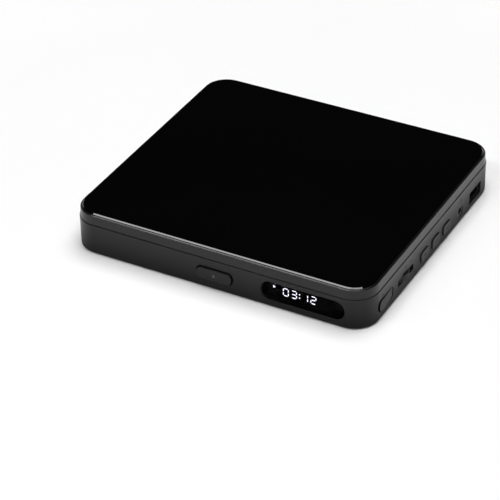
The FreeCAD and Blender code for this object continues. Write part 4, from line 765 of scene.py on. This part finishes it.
# %% Deck screws
HEAD_RADIUS = 2.2
HEAD_HEIGHT = 1.2
HEAD_FLAT = 1.5
HEAD_SHOULDER = 1.95
SHANK_RADIUS = 1.1
CROSS_LENGTH = 2.3
CROSS_WIDTH = 0.55
CROSS_DEPTH = 0.7


def cross_head(length):
    """A pan head on its shank, with a cross pushed into the top."""
    top = HEAD_HEIGHT
    screw = turned([
        (0, top), (HEAD_FLAT, top), (HEAD_SHOULDER, 0.85 * top), (HEAD_RADIUS, 0.5 * top),
        (HEAD_RADIUS, 0), (SHANK_RADIUS, 0), (SHANK_RADIUS, -length), (0, -length)])
    for axis in ((1, 0, 0), (0, 1, 0)):
        for cut in (CROSS_LENGTH, CROSS_WIDTH, -CROSS_WIDTH, -CROSS_LENGTH):
            cap = [face for face in screw.faces if face.calc_center_median().z > top - MM]
            edges = {edge for face in cap for edge in face.edges}
            corners = {corner for face in cap for corner in face.verts}
            bmesh.ops.bisect_plane(
                screw, geom=[*corners, *edges, *cap], plane_co=Vector(axis) * cut / 2, plane_no=axis)
    cross = []
    for face in screw.faces:
        middle = face.calc_center_median()
        long, short = max(abs(middle.x), abs(middle.y)), min(abs(middle.x), abs(middle.y))
        if middle.z > top - MM and long < CROSS_LENGTH / 2 and short < CROSS_WIDTH / 2:
            cross.append(face)
    sunk = bmesh.ops.extrude_face_region(screw, geom=cross)["geom"]
    bmesh.ops.delete(screw, geom=[face for face in cross if face.is_valid], context="FACES_ONLY")
    floor_corners = [part for part in sunk if isinstance(part, bmesh.types.BMVert)]
    bmesh.ops.translate(screw, vec=(0, 0, -CROSS_DEPTH), verts=floor_corners)
    bmesh.ops.recalc_face_normals(screw, faces=screw.faces)
    return screw


screw_low, screw_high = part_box("deck_screws")
seat = screw_high.z - HEAD_HEIGHT * MM
screw_places = [(x, y, seat) for x, y in four_corners("deck_screws", HEAD_RADIUS)]
set_out("deck_screw_set", cross_head((seat - screw_low.z) / MM), screw_places, plated_steel, "base",
        "deck_screws")

# %% Feet
FOOT_RADIUS = 5.0
FOOT_OUTLINE = [
    (0, 0.5), (2.6, 0.5), (3.0, 0.15), (3.3, 0), (4.6, 0), (4.9, 0.15), (FOOT_RADIUS, 0.5),
    (FOOT_RADIUS, 1), (0, 1)]

foot_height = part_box("feet")[1].z / MM
foot = turned([(radius, share * foot_height) for radius, share in FOOT_OUTLINE])
foot_places = [(x, y, 0) for x, y in four_corners("feet", FOOT_RADIUS)]
set_out("rubber_feet", foot, foot_places, rubber, "base", "feet")

# %% Pickup lens
LENS_RIM = 0.18
LENS_INDEX = 1.52
LENS_CLEARNESS = 0.85
DOME_SHARE = 0.8
DOME_STEPS = 8


def coated_glass():
    finish, tree, shader = start_finish("coated_glass")
    shader.inputs["Transmission Weight"].default_value = LENS_CLEARNESS
    shader.inputs["IOR"].default_value = LENS_INDEX
    vary(tree, shader, "Base Color", 400, (0.42, 0.5, 0.85), (0.5, 0.58, 0.95))
    vary(tree, shader, "Roughness", 300, 0.01, 0.03)
    return finish


lens_low, lens_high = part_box("pickup_lens")
lens_radius = (lens_high.x - lens_low.x) / 2 / MM
lens_height = (lens_high.z - lens_low.z) / MM
dome_radius = DOME_SHARE * lens_radius
dome_rise = lens_height - LENS_RIM
dome = [(dome_radius * math.sin(turn), LENS_RIM + dome_rise * math.cos(turn))
        for turn in (step * math.pi / (2 * DOME_STEPS) for step in range(DOME_STEPS + 1))]
lens_outline = dome + [(lens_radius, LENS_RIM), (lens_radius, 0), (0, 0)]
lens_place = [((lens_low.x + lens_high.x) / 2, (lens_low.y + lens_high.y) / 2, lens_low.z)]
set_out("domed_lens", turned(lens_outline), lens_place, coated_glass(), "lens", "pickup_lens")

# %% [markdown]
# ## The latch's tongue
#
# The open button pushes a springy tongue off the lid's hook. Its foot stays on the floor of the tub
# and its top goes along with the button; from the button's stem upwards it moves as far as the
# button. It is drawn from its side and cut into short lengths.

# %% Cut the tongue
TONGUE_THICK = 1.2
NOSE_REACH = 1.2
NOSE_HEIGHT = 1.2
TONGUE_LENGTHS = 12

tongue_low, tongue_high = (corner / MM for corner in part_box("latch_tongue"))
front = tongue_low.y + NOSE_REACH
back = front + TONGUE_THICK
foot_top = tongue_low.z + TONGUE_THICK
nose_low = tongue_high.z - NOSE_HEIGHT
nose_edge = tongue_high.z - NOSE_HEIGHT / 2
outline = [
    (front, tongue_low.z), (tongue_high.y, tongue_low.z), (tongue_high.y, foot_top), (back, foot_top),
    (back, tongue_high.z), (front, tongue_high.z), (tongue_low.y, nose_edge), (tongue_low.y, nose_low),
    (front, nose_low)]
tongue = bmesh.new()
flank = tongue.faces.new([tongue.verts.new((tongue_low.x, y, z)) for y, z in outline])
drawn = bmesh.ops.extrude_face_region(tongue, geom=[flank])["geom"]
far_corners = [part for part in drawn if isinstance(part, bmesh.types.BMVert)]
bmesh.ops.translate(tongue, vec=(tongue_high.x - tongue_low.x, 0, 0), verts=far_corners)
for step in range(1, TONGUE_LENGTHS):
    cut_level = foot_top + (tongue_high.z - foot_top) * step / TONGUE_LENGTHS
    bmesh.ops.bisect_plane(
        tongue, geom=[*tongue.verts, *tongue.edges, *tongue.faces], plane_co=(0, 0, cut_level),
        plane_no=(0, 0, 1))
bmesh.ops.recalc_face_normals(tongue, faces=tongue.faces)
bmesh.ops.scale(tongue, vec=(MM, MM, MM), verts=tongue.verts)
print("open edges:", sum(edge.is_boundary for edge in tongue.edges))
latch = link_piece("springy_tongue", tongue, grey_acetal)
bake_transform(latch)
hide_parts("latch_tongue")
print("tongue:", len(latch.data.polygons), "faces")

# %% [markdown]
# ## The flat cable
#
# The pickup is fed by a ribbon of thin conductors that lies on the floor of the tub, turns back in
# a loop and comes in under the sled. It is one edge, drawn out along its runs and spun round its
# bends, and then given its thickness. When the sled slides in the player, the lower run stays, the
# upper run goes along and the loop rolls half as far as the sled.

# %% Draw out the ribbon
RIBBON_THICK = 0.16
SOLID_HALF = 0.1
BEND_STEPS = 8
LOOP_STEPS = 16
RIBBON_LOOP = -58.0
RIBBON_END = -14.0
RISE_START = 17.4
RISE_RUN = 4.2
SOCKET_LEVEL = 4.9


def last_edge(made):
    """The new edge of an extrusion, with its two ends."""
    points = [part for part in made if isinstance(part, bmesh.types.BMVert)]
    edges = [part for part in made if isinstance(part, bmesh.types.BMEdge)]
    across = [edge for edge in edges if edge.verts[0] in points and edge.verts[1] in points]
    return points + across


def draw_out(strip, end, by):
    edges = [part for part in end if isinstance(part, bmesh.types.BMEdge)]
    end = last_edge(bmesh.ops.extrude_edge_only(strip, edges=edges)["geom"])
    points = [part for part in end if isinstance(part, bmesh.types.BMVert)]
    bmesh.ops.translate(strip, vec=(by, 0, 0), verts=points)
    return end


def bend_round(strip, end, centre, angle, steps):
    made = bmesh.ops.spin(
        strip, geom=end, cent=(centre[0], 0, centre[1]), axis=(0, 1, 0), angle=angle, steps=steps)
    return made["geom_last"]


ribbon_low, ribbon_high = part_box("pickup_ribbon")
run_level = ribbon_low.z / MM + SOLID_HALF
return_level = ribbon_high.z / MM - SOLID_HALF
socket_x = ribbon_high.x / MM
half = ribbon_high.y / MM
rise_turn = 2 * math.atan((SOCKET_LEVEL - run_level) / RISE_RUN)
rise_radius = RISE_RUN / (2 * math.sin(rise_turn))
rise_top = RISE_START + RISE_RUN

strip = bmesh.new()
ends = [strip.verts.new((socket_x, y, SOCKET_LEVEL)) for y in (-half, half)]
end = ends + [strip.edges.new(ends)]
end = draw_out(strip, end, rise_top - socket_x)
end = bend_round(strip, end, (rise_top, SOCKET_LEVEL - rise_radius), -rise_turn, BEND_STEPS)
end = bend_round(strip, end, (RISE_START, run_level + rise_radius), rise_turn, BEND_STEPS)
end = draw_out(strip, end, RIBBON_LOOP - RISE_START)
end = bend_round(strip, end, (RIBBON_LOOP, (run_level + return_level) / 2), math.pi, LOOP_STEPS)
end = draw_out(strip, end, RIBBON_END - RIBBON_LOOP)
bmesh.ops.recalc_face_normals(strip, faces=strip.faces)
print("ribbon ends at", [round(c, 2) for c in end[0].co])

# %% Finish the ribbon
CONDUCTOR_PITCH = 0.0011
WAVE_PER_SCALE = 20 / math.tau
FILM_TINTS = [(0.45, (0.42, 0.40, 0.36)), (0.6, (0.60, 0.58, 0.53))]


def ribbon_film():
    """Pale film with conductors that show through as darker lines along it."""
    finish, tree, shader = start_finish("ribbon_film")
    place = add_node(tree, "ShaderNodeTexCoord")
    lines = add_node(tree, "ShaderNodeTexWave", bands_direction="Y")
    lines.inputs["Scale"].default_value = 1 / WAVE_PER_SCALE / CONDUCTOR_PITCH
    tree.links.new(place.outputs["Object"], lines.inputs["Vector"])
    film = ramp(tree, lines.outputs["Fac"], FILM_TINTS)
    tree.links.new(film, shader.inputs["Base Color"])
    vary(tree, shader, "Roughness", 200, 0.28, 0.4)
    return finish


bmesh.ops.solidify(strip, geom=strip.faces[:], thickness=RIBBON_THICK)
bmesh.ops.scale(strip, vec=(MM, MM, MM), verts=strip.verts)
ribbon = link_piece("ribbon_cable", strip, ribbon_film())
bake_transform(ribbon)
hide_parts("pickup_ribbon")
print("ribbon:", len(ribbon.data.polygons), "faces")
